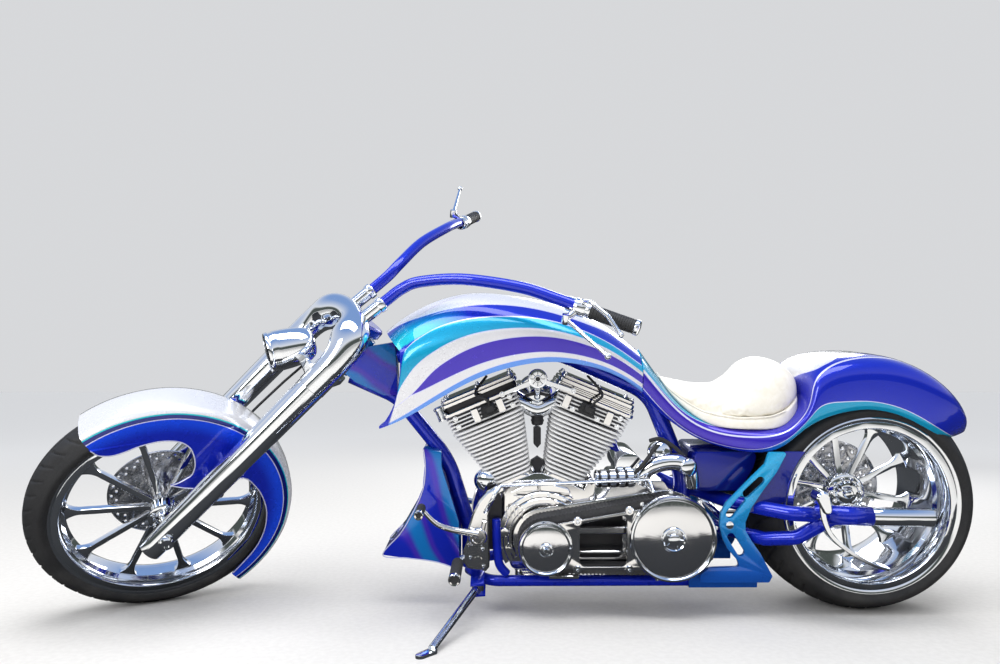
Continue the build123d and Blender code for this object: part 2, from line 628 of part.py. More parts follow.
def rocker(sign):
    """Rocker box on a cylinder head."""
    block = Pos(0, 0, CYL_START + 250) * extrude(RectangleRounded(262, 150, 20), amount=40)
    lid = Pos(0, 0, CYL_START + 290) * extrude(RectangleRounded(238, 128, 16), amount=13)
    return Pos(base_x, 0, base_z) * Rot(0, sign * CYLINDER_TILT, 0) * (block + lid)


cyl_front, cyl_rear = cylinder(-1), cylinder(1)
cyl_rear -= cyl_front
root["crankcase"] = cases - deck(-1) - deck(1)
cyl_front += rocker(-1)
cyl_rear += rocker(1)
root["cylinder_front"], root["cylinder_rear"] = cyl_front, cyl_rear

# Intake between the heads, with the air cleaner on the right and the star cover on the left
intake = rod((base_x - 110, 0, INTAKE_Z), (base_x + 110, 0, INTAKE_Z), 22)
intake += rod((base_x, -30, INTAKE_Z), (base_x, 100, INTAKE_Z), 30)
intake += rod((base_x, 95, INTAKE_Z), (base_x, 150, INTAKE_Z), 76)
intake += rod((base_x, -20, INTAKE_Z), (base_x, -94, 700), 11)
intake += rod((base_x, -92, 706), (base_x, -112, 706), 27)
root["intake"] = intake - cyl_front - cyl_rear

# Open belt primary drive on the left


def belt_loop(a, a_r, b, b_r):
    """Face bounded by a belt that runs round two pulleys."""
    return make_hull([*(Pos(*a) * Circle(a_r)).edges(), *(Pos(*b) * Circle(b_r)).edges()])


window = [(-858, 174), (-858, 298), (-722, 326), (-722, 174)]
inner_plate = slab(belt_loop(CRANK, 92, CLUTCH, 116), -110, -98) - slab(outline(window, 18), -120, -90)
outer_plate = slab(belt_loop(CRANK, 62, CLUTCH, 96), -186, -174) - slab(outline(window, 18), -190, -170)
belt = slab(belt_loop(CRANK, 80, CLUTCH, 114), -168, -118)
belt -= slab(belt_loop(CRANK, 74, CLUTCH, 108), -170, -116)
root["primary_belt"] = belt
for name, centre, pulley_r, cover_r, nose_r in (
    ("primary_pulley", CRANK, 74, 78, 20),
    ("clutch", CLUTCH, 108, 124, 36),
):
    piece = slab(Pos(*centre) * Circle(pulley_r - GAP), -170, -112)
    piece += slab(Pos(*centre) * Circle(40), -112, -110)
    piece += slab(Pos(*centre) * Circle(30), -190, -170)
    piece += slab(Pos(*centre) * Circle(cover_r), -206, -188)
    piece += slab(Pos(*centre) * Circle(nose_r), -216, -206)
    outer_plate -= slab(Pos(*centre) * Circle(30 + GAP), -190, -170)
    root[name] = piece
root["primary_frame"] = outer_plate + slab(Pos(-874, 297) * Circle(9), -174, -105) + inner_plate

# Gearbox with its output pulley, starter, oil tank and shift rod
gearbox_edge = [(-788, 150), (-788, 330), (-740, 400), (-600, 400), (-566, 350), (-566, 150)]
gearbox = slab(outline(gearbox_edge, 16), -97, 106)
gearbox += box(-760, -600, GAP + RAIL_R - RAIL_HALF, RAIL_HALF - RAIL_R - GAP, RAIL_Z - 6, RAIL_Z + 8)
gearbox += box(-740, -620, -60, 60, RAIL_Z + 8, 152)
gearbox += slab(Pos(*CLUTCH) * Circle(22), 104, 236) + slab(Pos(*CLUTCH) * Circle(52 - GAP), 210, 238)
root["gearbox"] = gearbox
root["starter"] = rod((-700, -96, 442), (-700, 84, 442), 40) + box(-730, -670, -70, 70, 400, 420)
oil_tank = slab(outline([(-508, 372), (-508, 488), (-322, 488), (-335, 440), (-375, 372)], 16), -104, 104)
root["oil_tank"] = oil_tank - backbone_room
shift = rod((-1085, -150, 400), (-654, -150, 418), 5)
shift += rod((-654, -150, 418), (-640, -150, 380), 6) + rod((-640, -156, 380), (-640, -97, 380), 7)

# Swingarm on the right side only, its pivot, the rear axle with its pulley, final belt and caliper
arm = slab(outline(raised(SWINGARM, REAR_TYRE_R), 18), SWINGARM_Y, SWINGARM_Y + SWINGARM_THICK)
arm += slab(Pos(0, REAR_TYRE_R) * Circle(46), REAR_HUB_Y[1] + 8, SWINGARM_Y)
arm -= rod((0, 0, REAR_TYRE_R), (0, 300, REAR_TYRE_R), REAR_BORE_R + GAP)
pivot_x, pivot_z = SWING_PIVOT
pivot_end = SWINGARM_Y + SWINGARM_THICK + 4
arm += rod((pivot_x, -strut_out - 6, pivot_z), (pivot_x, pivot_end, pivot_z), PIVOT_R)
root["swingarm"] = arm
final = slab(belt_loop(CLUTCH, 58, (0, REAR_TYRE_R), FINAL_R + 6), 212, 236)
final -= slab(belt_loop(CLUTCH, 52, (0, REAR_TYRE_R), FINAL_R), 211, 237)
root["final_belt"] = final
hub_x, hub_z = polar(134, 150, (0, REAR_TYRE_R))
rear_caliper = slab(Pos(hub_x, hub_z) * Rot(0, 0, 60) * RectangleRounded(96, 58, 14), 94, 130)
rear_caliper -= REAR_AXLE * ring(REAR_DISC_Y - 4, REAR_DISC_Y + 10, 0, 154)
rear_caliper += rod((hub_x - 14, 122, hub_z + 8), (hub_x - 14, SWINGARM_Y, hub_z + 8), 12)
root["rear_caliper"] = rear_caliper

# Exhaust: one pipe from each cylinder, crossing behind the gearbox to the left of the rear wheel
merge_at = Vector(-168, -215, 331)
pipe_rear = tube(
    [(-786, 60, 575), (-780, 140, 560), (-700, 150, 440), (-545, 150, 340), (-465, 50, 335), (-402, -80, 335),
     (-318, -166, 335), (-262, -210, 334), tuple(merge_at)],
    [30, 80, 80, 60, 80, 60, 40], PIPE_R)
pipe_rear += rod(merge_at, merge_at + Vector(125, 0, -4), COLLECTOR_R)
pipe_front = tube(
    [(-1156, 60, 575), (-1158, 140, 565), (-1130, 156, 440), (-1010, 156, 260), (-820, 150, 186),
     (-600, 150, 184), (-495, 112, 196), (-436, 20, 238), (-405, -70, 246), (-320, -166, 248),
     (-250, -212, 266), (-150, -215, 322)],
    [30, 120, 120, 120, 150, 60, 60, 60, 40, 40], PIPE_R - 1)
root["exhaust_pipes"] = pipe_rear + pipe_front - cyl_front - cyl_rear
tip_start = merge_at + Vector(125, 0, -4)
tip = rod(tip_start, tip_start + Vector(170, 0, -4), COLLECTOR_R - 1) - rod(
    tip_start + Vector(110, 0, -2.6), tip_start + Vector(171, 0, -4), COLLECTOR_R - 3
)
root["exhaust_tip"] = tip - root["exhaust_pipes"]

# Curved bracket strap hung from the collector
strap = make_face([
    ThreePointArc((-214, 392), (-196, 300), (-120, 232)),
    ThreePointArc((-120, 232), (-92, 216), (-62, 204.3)),
    Line((-62, 204.3), (-24, 194)),
    Line((-24, 194), (-21.9, 201.7)),
    Line((-21.9, 201.7), (-59.9, 212)),
    ThreePointArc((-59.9, 212), (-88.5, 223.3), (-115.5, 239)),
    ThreePointArc((-115.5, 239), (-188.3, 303), (-206, 392)),
    Line((-206, 392), (-214, 392)),
])
hanger = slab(strap, -282, -248) + slab(Pos(-192, 380) * RectangleRounded(52, 42, 6), -262, -234)
hanger += box(-170, -130, -262, -241, 325, 395)
hanger -= rod(merge_at - Vector(20, 0, 0), merge_at + Vector(60, 0, -1.9), COLLECTOR_R + GAP)
for y in (STRAP_Y - STRAP_HOLES / 2, STRAP_Y + STRAP_HOLES / 2):
    hanger -= rod((-47.6, y, 183.4), (-32, y, 241), STRAP_HOLE_R)
root["tail_bracket"] = hanger


# Forward controls: block, footpeg and shift or brake lever on each side
def controls():
    """Forward control of the right side."""
    face = outline([(-1196, 148), (-1200, 280), (-1160, 340), (-1118, 340), (-1118, 148)], 10)
    piece = slab(face, CONTROL_Y, CONTROL_Y + 26)
    piece += slab(Pos(-1150, 250) * Circle(26), CONTROL_Y + 26, CONTROL_Y + 42)
    piece += rod((-1190, CONTROL_Y + 10, 184), (-1208, CONTROL_Y + 40, 180), 9)
    piece += rod((-1208, CONTROL_Y + 38, 180), (-1210, CONTROL_Y + 158, 172), 17)
    arm_line = [(-1160, CONTROL_Y + 34, 262), (-1225, CONTROL_Y + 50, 292), (-1308, CONTROL_Y + 74, 352)]
    piece += tube(arm_line, [60], 8)
    piece += rod((-1308, CONTROL_Y + 70, 352), (-1308, CONTROL_Y + 140, 348), 14)
    return piece


root["controls"] = both(controls())
shift += rod((-1085, -150, 400), (-1130, -150, 320), 6)
root["shift_rod"] = shift - root["controls"]

# Parked pose: fork on its left stop, machine leaning left until both tyres and the stand touch
steer_axis = Axis(STEER_BASE, STEER_DIR)
on_fork = {name: FRONT_AXLE * piece for name, piece in front.items()}
bodies = {
    "root": root,
    "fork": {name: piece.rotate(steer_axis, STEER_LOCK) for name, piece in fork.items()},
    "front_wheel": {name: piece.rotate(steer_axis, STEER_LOCK) for name, piece in on_fork.items()},
    "rear_wheel": {name: REAR_AXLE * piece for name, piece in rear.items()},
}
front_tyre, rear_tyre = bodies["front_wheel"]["front_tyre"], bodies["rear_wheel"]["rear_tyre"]
lean = Rot(LEAN, 0, 0)
rear_low = (lean * rear_tyre).bounding_box().min.Z
front_low = (lean * front_tyre).bounding_box().min.Z
pitch = Rot(0, -math.degrees(math.asin((front_low - rear_low) / WHEELBASE)), 0)
settle = pitch * lean
rise = -min((settle * rear_tyre).bounding_box().min.Z, (settle * front_tyre).bounding_box().min.Z)
stand_pose = Pos(0, 0, rise) * settle
to_bike = stand_pose.inverse()


def floor_point(x, y, z):
    """Point given over the floor, in the coordinates of the upright machine."""
    return (to_bike * Pos(x, y, z)).position


# Side stand: knuckle between two lugs on the left rail, leg, and a flat foot on the floor
knuckle_seat = Plane(origin=STAND_PIVOT, x_dir=(1, 0, 0), z_dir=STAND_AXIS)
knuckle = knuckle_seat * Pos(0, 0, -KNUCKLE_HALF) * Cylinder(17, 2 * KNUCKLE_HALF, align=UPWARD)
foot_x, foot_y = STAND_FOOT
ankle = floor_point(foot_x, foot_y, 11)
foot_face = make_hull([*Circle(14).edges(), *(Pos(-26, -30) * Circle(12)).edges()])
foot = to_bike * Pos(foot_x, foot_y, 0) * extrude(foot_face, amount=8)
stand = knuckle + rod(STAND_PIVOT, ankle, 11.5, 10) + foot
stand -= knuckle_seat * Pos(0, 0, -40) * Cylinder(STAND_PIN_R + GAP, 80, align=UPWARD)
stand -= to_bike * Pos(foot_x, foot_y, -50) * Box(300, 300, 100)
bodies["side_stand"] = {"side_stand": stand}
lug = extrude(outline([(-20, -19), (20, -19), (20, 60), (-20, 60)]), amount=6)
fork_lugs = Pos(0, 0, KNUCKLE_HALF + GAP) * lug + Pos(0, 0, -KNUCKLE_HALF - GAP - 6) * lug
fork_lugs += Pos(0, 0, -KNUCKLE_HALF - 8) * Cylinder(STAND_PIN_R, 2 * KNUCKLE_HALF + 16, align=UPWARD)
stand_lugs = knuckle_seat * fork_lugs - root["crankcase"] - root["controls"] - downtube
root["rails"] = rail + rail_left + stand_lugs

posed = {name: stand_pose * piece for pieces in bodies.values() for name, piece in pieces.items()}
boxes = [piece.bounding_box() for piece in posed.values()]
low_x, high_x = min(b.min.X for b in boxes), max(b.max.X for b in boxes)
low_y, high_y = min(b.min.Y for b in boxes), max(b.max.Y for b in boxes)
low_z = min(b.min.Z for b in boxes)
home = Pos(-(low_x + high_x) / 2, -(low_y + high_y) / 2, -low_z)

os.makedirs("parts", exist_ok=True)
for name, piece in posed.items():
    export_step(home * piece, f"parts/{name}.step")
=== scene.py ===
import math

import bmesh
import bpy
from mathutils import Matrix, Vector
from mathutils.geometry import convex_hull_2d, tessellate_polygon


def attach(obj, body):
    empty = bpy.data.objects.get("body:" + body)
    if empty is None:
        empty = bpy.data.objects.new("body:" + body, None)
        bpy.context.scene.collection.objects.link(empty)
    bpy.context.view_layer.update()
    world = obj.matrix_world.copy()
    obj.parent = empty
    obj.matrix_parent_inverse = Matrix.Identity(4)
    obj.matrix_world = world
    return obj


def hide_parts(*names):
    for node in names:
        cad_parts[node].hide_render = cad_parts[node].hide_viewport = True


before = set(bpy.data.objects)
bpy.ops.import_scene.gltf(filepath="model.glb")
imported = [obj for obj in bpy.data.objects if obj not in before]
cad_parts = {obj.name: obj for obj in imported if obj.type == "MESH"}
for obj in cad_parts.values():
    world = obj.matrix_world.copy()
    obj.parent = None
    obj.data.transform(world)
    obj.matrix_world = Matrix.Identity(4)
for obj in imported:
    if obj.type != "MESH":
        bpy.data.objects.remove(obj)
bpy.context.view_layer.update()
bpy.context.scene.view_settings.view_transform = "Standard"

# Upright machine in millimetres to the parked pose in metres, and the same for the turned fork
LEAN = 5.96
PITCH = -0.15783601
STEER_LOCK = 35.5
RAKE = math.radians(41.3)
STEER_DIR = Vector((math.sin(RAKE), 0, math.cos(RAKE)))
STEER_FWD = Vector((-math.cos(RAKE), 0, math.sin(RAKE)))
FRONT_RADIUS = 350
REAR_RADIUS = 334
FRONT_RIM = (281, 50)  # radius and half width
REAR_RIM = (247, 142)
FRONT_AXLE = Vector((-2116, 0, FRONT_RADIUS))
REAR_AXLE = Vector((0, 0, REAR_RADIUS))
STEER_BASE = FRONT_AXLE - STEER_FWD * 150
BIKE = (
    Matrix.Translation((1.04173, -0.0127133, 0.00166236537))
    @ Matrix.Rotation(math.radians(PITCH), 4, "Y")
    @ Matrix.Rotation(math.radians(LEAN), 4, "X")
    @ Matrix.Scale(0.001, 4)
)
FORK = (
    BIKE
    @ Matrix.Translation(STEER_BASE)
    @ Matrix.Rotation(math.radians(STEER_LOCK), 4, STEER_DIR)
    @ Matrix.Translation(-STEER_BASE)
)
FRONT_WHEEL = FORK @ Matrix.Translation(FRONT_AXLE)
REAR_WHEEL = BIKE @ Matrix.Translation(REAR_AXLE)

# Camera, first because everything is judged through it
camera_data = bpy.data.cameras.new("photo_camera")
camera_data.sensor_fit = "HORIZONTAL"
camera_data.sensor_width = 36
camera_data.lens = 25.65
camera_data.clip_end = 200
camera = bpy.data.objects.new("photo_camera", camera_data)
camera.location = (-0.04447, -2.29521, 0.6851)
camera.rotation_euler = (math.radians(93.907), 0, 0)
bpy.context.collection.objects.link(camera)
bpy.context.scene.camera = camera


# Node helpers


def change(item, **settings):
    """Sets several settings of one thing."""
    for key, value in settings.items():
        setattr(item, key, value)
    return item


def node(tree, kind, inputs=None, **settings):
    """New node with its settings, and its inputs set or linked."""
    item = change(tree.nodes.new(kind), **settings)
    for key, value in (inputs or {}).items():
        if isinstance(value, bpy.types.NodeSocket):
            tree.links.new(value, item.inputs[key])
        else:
            item.inputs[key].default_value = value
    return item


def maths(tree, operation, *values, clamp=False):
    """Output of one Math node."""
    return node(tree, "ShaderNodeMath", dict(enumerate(values)), operation=operation, use_clamp=clamp).outputs[0]


def ramp(tree, value, low, high, to_low=0.0, to_high=1.0, smooth=False):
    """Value mapped from one range to another, clamped."""
    kind = "SMOOTHSTEP" if smooth else "LINEAR"
    inputs = {"Value": value, "From Min": low, "From Max": high, "To Min": to_low, "To Max": to_high}
    return node(tree, "ShaderNodeMapRange", inputs, interpolation_type=kind).outputs["Result"]


def blend(tree, mask, under, over):
    """Colour mixed by a mask."""
    return node(tree, "ShaderNodeMix", {"Factor": mask, 6: under, 7: over}, data_type="RGBA").outputs[2]


def rgb(red, green, blue):
    return (red, green, blue, 1.0)


def effect(name, inputs, outputs):
    """Shader group shared by materials: the tree, its input node's outputs and its output node."""
    tree = bpy.data.node_groups.new(name, "ShaderNodeTree")
    for label, kind, default in inputs:
        socket = tree.interface.new_socket(label, in_out="INPUT", socket_type=kind)
        if default is not None:
            socket.default_value = default
    for label, kind in outputs:
        tree.interface.new_socket(label, in_out="OUTPUT", socket_type=kind)
    start = tree.nodes.new("NodeGroupInput")
    end = tree.nodes.new("NodeGroupOutput")
    return tree, start.outputs, end


FLOAT = "NodeSocketFloat"
COLOUR = "NodeSocketColor"
VECTOR = "NodeSocketVector"
INT = "NodeSocketInt"


def build_grain():
    """Fine mottling: a height for bump and a value between Low and High."""
    tree, given, end = effect(
        "fine_grain",
        [("Scale", FLOAT, 200.0), ("Low", FLOAT, 0.2), ("High", FLOAT, 0.3)],
        [("Value", FLOAT), ("Height", FLOAT)],
    )
    place = node(tree, "ShaderNodeTexCoord").outputs["Object"]
    fine = node(tree, "ShaderNodeTexNoise", {"Vector": place, "Scale": given["Scale"], "Detail": 4.0})
    broad_scale = maths(tree, "MULTIPLY", given["Scale"], 0.06)
    broad = node(tree, "ShaderNodeTexNoise", {"Vector": place, "Scale": broad_scale, "Detail": 3.0})
    both = maths(tree, "MULTIPLY_ADD", broad.outputs["Fac"], 0.7, maths(tree, "MULTIPLY", fine.outputs["Fac"], 0.3))
    value = ramp(tree, both, 0.35, 0.65, given["Low"], given["High"])
    tree.links.new(value, end.inputs["Value"])
    tree.links.new(fine.outputs["Fac"], end.inputs["Height"])
    return tree


def build_dust():
    """Road dust: a mask that is strongest near the floor and in patches."""
    tree, given, end = effect("road_dust", [("Reach", FLOAT, 0.35), ("Amount", FLOAT, 0.3)], [("Mask", FLOAT)])
    place = node(tree, "ShaderNodeTexCoord").outputs["Object"]
    height = node(tree, "ShaderNodeSeparateXYZ", {"Vector": place}).outputs["Z"]
    low = maths(tree, "SUBTRACT", 1.0, maths(tree, "DIVIDE", height, given["Reach"]), clamp=True)
    noise = node(tree, "ShaderNodeTexNoise", {"Vector": place, "Scale": 14.0, "Detail": 6.0})
    patches = ramp(tree, noise.outputs["Fac"], 0.3, 0.75)
    mask = maths(tree, "MULTIPLY", maths(tree, "MULTIPLY", low, patches), given["Amount"], clamp=True)
    tree.links.new(mask, end.inputs["Mask"])
    return tree


def build_lines():
    """Ground lines: noise stretched along two axes of the given coordinates."""
    tree, given, end = effect(
        "ground_lines",
        [("Vector", VECTOR, None), ("Low", FLOAT, 0.2), ("High", FLOAT, 0.35)],
        [("Value", FLOAT), ("Height", FLOAT)],
    )
    noise = node(tree, "ShaderNodeTexNoise", {"Vector": given["Vector"], "Scale": 1.0, "Detail": 5.0})
    value = ramp(tree, noise.outputs["Fac"], 0.3, 0.7, given["Low"], given["High"])
    tree.links.new(value, end.inputs["Value"])
    tree.links.new(noise.outputs["Fac"], end.inputs["Height"])
    return tree


def build_band():
    """Paint edge: Over beyond Distance 0, with a pinstripe along the edge."""
    tree, given, end = effect(
        "paint_band",
        [("Under", COLOUR, None), ("Over", COLOUR, None), ("Distance", FLOAT, 0.0), ("Line", COLOUR, None),
         ("Half Width", FLOAT, 1.5)],
        [("Color", COLOUR)],
    )
    mask = ramp(tree, given["Distance"], -0.4, 0.4)
    painted = blend(tree, mask, given["Under"], given["Over"])
    off = maths(tree, "SUBTRACT", maths(tree, "ABSOLUTE", given["Distance"]), given["Half Width"])
    stripe = ramp(tree, off, -0.3, 0.5, 1.0, 0.0)
    tree.links.new(blend(tree, stripe, painted, given["Line"]), end.inputs["Color"])
    return tree


def build_flake():
    """Metal flake under candy paint: a sparkle value and a slightly tilted normal."""
    tree, given, end = effect("metal_flake", [("Scale", FLOAT, 900.0)], [("Value", FLOAT), ("Normal", VECTOR)])
    place = node(tree, "ShaderNodeTexCoord").outputs["Object"]
    cells = node(tree, "ShaderNodeTexVoronoi", {"Vector": place, "Scale": given["Scale"]})
    tone = node(tree, "ShaderNodeSeparateColor", {"Color": cells.outputs["Color"]}).outputs[0]
    tilt = node(tree, "ShaderNodeBump", {"Strength": 0.025, "Distance": 0.0005, "Height": tone})
    tree.links.new(ramp(tree, tone, 0.0, 1.0, 0.94, 1.06), end.inputs["Value"])
    tree.links.new(tilt.outputs["Normal"], end.inputs["Normal"])
    return tree


GRAIN = build_grain()
DUST = build_dust()
LINES = build_lines()
BAND = build_band()
FLAKE = build_flake()


def use(tree, group, inputs=None):
    """A shared effect placed in a material, with this material's own values."""
    return node(tree, "ShaderNodeGroup", inputs, node_tree=group).outputs


def new_material(name, **constants):
    """Material with a Principled shader whose uniform values sit on its own sockets."""
    material = bpy.data.materials.new(name)
    material.use_nodes = True
    tree = material.node_tree
    shader = tree.nodes["Principled BSDF"]
    for key, value in constants.items():
        shader.inputs[key].default_value = value
    return material, tree, shader


def bump(tree, shader, height, strength, distance=0.0005):
    """Height turned into the shader's normal."""
    item = node(tree, "ShaderNodeBump", {"Height": height, "Strength": strength, "Distance": distance})
    tree.links.new(item.outputs["Normal"], shader.inputs["Normal"])


def machine_place(tree, matrix=BIKE):
    """Millimetres on the upright machine, as separate X, Y and Z sockets."""
    place = node(tree, "ShaderNodeTexCoord").outputs["Object"]
    mapping = node(tree, "ShaderNodeMapping", {"Vector": place}, vector_type="TEXTURE")
    mapping.inputs["Location"].default_value = matrix.to_translation()
    mapping.inputs["Rotation"].default_value = matrix.to_euler()
    mapping.inputs["Scale"].default_value = (0.001, 0.001, 0.001)
    split = node(tree, "ShaderNodeSeparateXYZ", {"Vector": mapping.outputs["Vector"]})
    return split.outputs["X"], split.outputs["Y"], split.outputs["Z"], mapping.outputs["Vector"]


def metal(name, colour, low, high, scale=180.0, rough_bump=0.0):
    """Bare or plated metal: uneven gloss and a little dust near the floor."""
    material, tree, shader = new_material(name, Metallic=1.0)
    grain = use(tree, GRAIN, {"Scale": scale, "Low": low, "High": high})
    haze = use(tree, DUST, {"Reach": 0.4, "Amount": 0.15})["Mask"]
    base = blend(tree, haze, rgb(*colour), rgb(0.45, 0.42, 0.38))
    tree.links.new(base, shader.inputs["Base Color"])
    tree.links.new(maths(tree, "MULTIPLY_ADD", haze, 0.4, grain["Value"]), shader.inputs["Roughness"])
    if rough_bump:
        bump(tree, shader, grain["Height"], rough_bump)
    return material


def rubber(name, colour, dust=0.1):
    """Moulded rubber: dull, with fine grain and dust near the floor."""
    material, tree, shader = new_material(name)
    grain = use(tree, GRAIN, {"Scale": 250.0, "Low": 0.55, "High": 0.75})
    haze = use(tree, DUST, {"Reach": 0.3, "Amount": dust})["Mask"]
    lighter = tuple(c * 1.7 + 0.004 for c in colour)
    base = blend(tree, ramp(tree, grain["Height"], 0.3, 0.7), rgb(*colour), rgb(*lighter))
    tree.links.new(blend(tree, haze, base, rgb(0.30, 0.28, 0.25)), shader.inputs["Base Color"])
    tree.links.new(grain["Value"], shader.inputs["Roughness"])
    bump(tree, shader, grain["Height"], 0.25)
    return material


# Colours of the candy paint, in linear light
ROYAL = rgb(0.006, 0.020, 0.46)
DEEP = rgb(0.003, 0.008, 0.17)
VIOLET = rgb(0.050, 0.024, 0.44)
TURQUOISE = rgb(0.006, 0.33, 0.56)
TEAL = rgb(0.004, 0.52, 0.60)
PEARL = rgb(0.74, 0.74, 0.77)
SKY = rgb(0.12, 0.30, 0.80)
LILAC = rgb(0.62, 0.62, 0.88)


def finish_paint(tree, shader, colour):
    """Candy colour over metal flake, under clear lacquer."""
    flake = use(tree, FLAKE)
    shimmer = node(tree, "ShaderNodeVectorMath", {0: colour, "Scale": flake["Value"]}, operation="SCALE")
    tree.links.new(shimmer.outputs[0], shader.inputs["Base Color"])
    tree.links.new(flake["Normal"], shader.inputs["Normal"])
    grain = use(tree, GRAIN, {"Scale": 40.0, "Low": 0.22, "High": 0.30})
    tree.links.new(grain["Value"], shader.inputs["Roughness"])


def paint_material(name):
    """Base of the candy paints: slightly metallic, under clear lacquer."""
    return new_material(
        name, Metallic=0.3,
        **{"Coat Weight": 1.0, "Coat Roughness": 0.02, "Coat IOR": 1.5, "Specular IOR Level": 0.1},
    )


def plain_paint(name, low_colour, high_colour, z_low, z_high):
    """Candy paint that fades upwards from one colour to another."""
    material, tree, shader = paint_material(name)
    z = machine_place(tree)[2]
    colour = blend(tree, ramp(tree, z, z_low, z_high, smooth=True), low_colour, high_colour)
    finish_paint(tree, shader, colour)
    return material


CHROME = metal("chrome", (0.88, 0.90, 0.93), 0.03, 0.075, scale=60.0)
ALLOY = metal("polished_alloy", (0.84, 0.84, 0.85), 0.12, 0.22, rough_bump=0.03)
POLISHED = metal("mirror_alloy", (0.87, 0.86, 0.85), 0.05, 0.11, scale=90.0)
STEEL = metal("ground_steel", (0.58, 0.58, 0.60), 0.20, 0.32, rough_bump=0.05)
# Dark metal for dark parts, and for plates, rings and discs that paint shade into gaps, holes and recesses
DARK_METAL_AND_SHADE = metal("dark_metal_and_shade", (0.05, 0.05, 0.055), 0.35, 0.5, rough_bump=0.1)
TYRE = rubber("tyre_rubber", (0.010, 0.010, 0.011), dust=0.12)
BLACK_RUBBER = rubber("black_rubber", (0.014, 0.014, 0.015))
BELT = rubber("belt_rubber", (0.028, 0.028, 0.030))
FRAME_BLUE = plain_paint("frame_blue", ROYAL, ROYAL, 0, 1000)
STRUT_BLUE = plain_paint("strut_blue", rgb(0.008, 0.09, 0.46), rgb(0.02, 0.40, 0.74), 130, 460)
# Pale beads along paint edges: painted highlight of the rolled edges, lighter towards the top
EDGE_HIGHLIGHT = plain_paint("edge_highlight_pearl", LILAC, PEARL, 0, 900)


def leather():
    """Cream leather: pebbled grain, soft creases and faint colour variation."""
    material, tree, shader = new_material("seat_leather", **{"Sheen Weight": 0.1, "Specular IOR Level": 0.45})
    place = node(tree, "ShaderNodeTexCoord").outputs["Object"]
    pebbles = node(tree, "ShaderNodeTexVoronoi", {"Vector": place, "Scale": 520.0}, feature="DISTANCE_TO_EDGE")
    creases = node(tree, "ShaderNodeTexNoise", {"Vector": place, "Scale": 45.0, "Detail": 6.0, "Distortion": 0.6})
    grain = use(tree, GRAIN, {"Scale": 90.0, "Low": 0.38, "High": 0.52})
    height = maths(tree, "ADD", ramp(tree, pebbles.outputs["Distance"], 0.0, 0.25),
                   maths(tree, "MULTIPLY", creases.outputs["Fac"], 0.8))
    base = blend(tree, ramp(tree, creases.outputs["Fac"], 0.35, 0.7), rgb(0.80, 0.76, 0.66), rgb(0.88, 0.85, 0.78))
    tree.links.new(base, shader.inputs["Base Color"])
    tree.links.new(grain["Value"], shader.inputs["Roughness"])
    bump(tree, shader, height, 0.22, 0.0006)
    return material


def glass():
    """Clear lamp glass."""
    material, tree, shader = new_material("lamp_glass", IOR=1.5, **{"Transmission Weight": 1.0})
    grain = use(tree, GRAIN, {"Scale": 80.0, "Low": 0.01, "High": 0.04})
    shader.inputs["Base Color"].default_value = rgb(0.93, 0.96, 1.0)
    tree.links.new(grain["Value"], shader.inputs["Roughness"])
    return material


LEATHER = leather()
SKIRT = LEATHER.copy()
SKIRT.name = "seat_skirt_leather"
GLASS = glass()


# Mesh helpers
DRESSED_ANGLE = math.radians(38)


def link(obj):
    """Puts an object in the scene."""
    bpy.context.collection.objects.link(obj)
    return obj


def shade(mesh, degrees=35):
    """Smooth shading that stays sharp at edges over an angle."""
    mesh.shade_smooth()
    mesh.set_sharp_from_angle(angle=math.radians(degrees))


def modifier(obj, kind, **settings):
    """New modifier with its settings."""
    return change(obj.modifiers.new(kind.lower(), kind), **settings)


def flatten(obj):
    """Bakes an object's modifiers into a plain mesh and removes them."""
    graph = bpy.context.evaluated_depsgraph_get()
    graph.update()
    mesh = bpy.data.meshes.new_from_object(obj.evaluated_get(graph), depsgraph=graph)
    obj.modifiers.clear()
    obj.data = mesh
    mesh.name = obj.name


def subdivide(obj, levels):
    """Subdivision surface, not yet baked into the mesh."""
    modifier(obj, "SUBSURF", levels=levels, render_levels=levels)


def dressed(name, material, body, width):
    """Copy of a CAD node with merged, rounded edges, standing for the node."""
    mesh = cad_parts[name].data.copy()
    work = bmesh.new()
    work.from_mesh(mesh)
    bmesh.ops.remove_doubles(work, verts=work.verts, dist=0.00002)
    if width:
        bmesh.ops.dissolve_limit(work, angle_limit=math.radians(0.6), verts=work.verts, edges=work.edges)
    work.to_mesh(mesh)
    work.free()
    mesh.materials.clear()
    mesh.materials.append(material)
    obj = link(bpy.data.objects.new(name + "_dressed", mesh))
    if width:
        modifier(obj, "BEVEL", width=width / 1000, segments=2, limit_method="ANGLE", angle_limit=DRESSED_ANGLE,
                 use_clamp_overlap=True)
        flatten(obj)
    shade(obj.data, math.degrees(DRESSED_ANGLE))
    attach(obj, body)
    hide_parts(name)


def at(points, x):
    """Value at x on the straight runs between (x, value) points."""
    if x <= points[0][0]:
        return points[0][1]
    for (x0, v0), (x1, v1) in zip(points, points[1:]):
        if x <= x1:
            return v0 + (v1 - v0) * (x - x0) / (x1 - x0)
    return points[-1][1]


def smooth_line(points, count):
    """Evenly spaced points on a smooth line through the given ones."""
    points = [Vector(p) for p in points]
    size = len(points)
    fine = []
    for i in range(size - 1):
        a, b, c, d = points[max(i - 1, 0)], points[i], points[i + 1], points[min(i + 2, size - 1)]
        for k in range(24):
            t = k / 24
            fine.append(
                0.5 * (2 * b + (c - a) * t + (2 * a - 5 * b + 4 * c - d) * t * t + (3 * b - a - 3 * c + d) * t**3)
            )
    fine.append(points[-1])
    reach = [0.0]
    for a, b in zip(fine, fine[1:]):
        reach.append(reach[-1] + (b - a).length)
    result = []
    j = 0
    for i in range(count):
        want = reach[-1] * i / (count - 1)
        while j < len(reach) - 2 and reach[j + 1] < want:
            j += 1
        share = (want - reach[j]) / max(reach[j + 1] - reach[j], 1e-9)
        result.append(fine[j].lerp(fine[j + 1], min(max(share, 0), 1)))
    return result


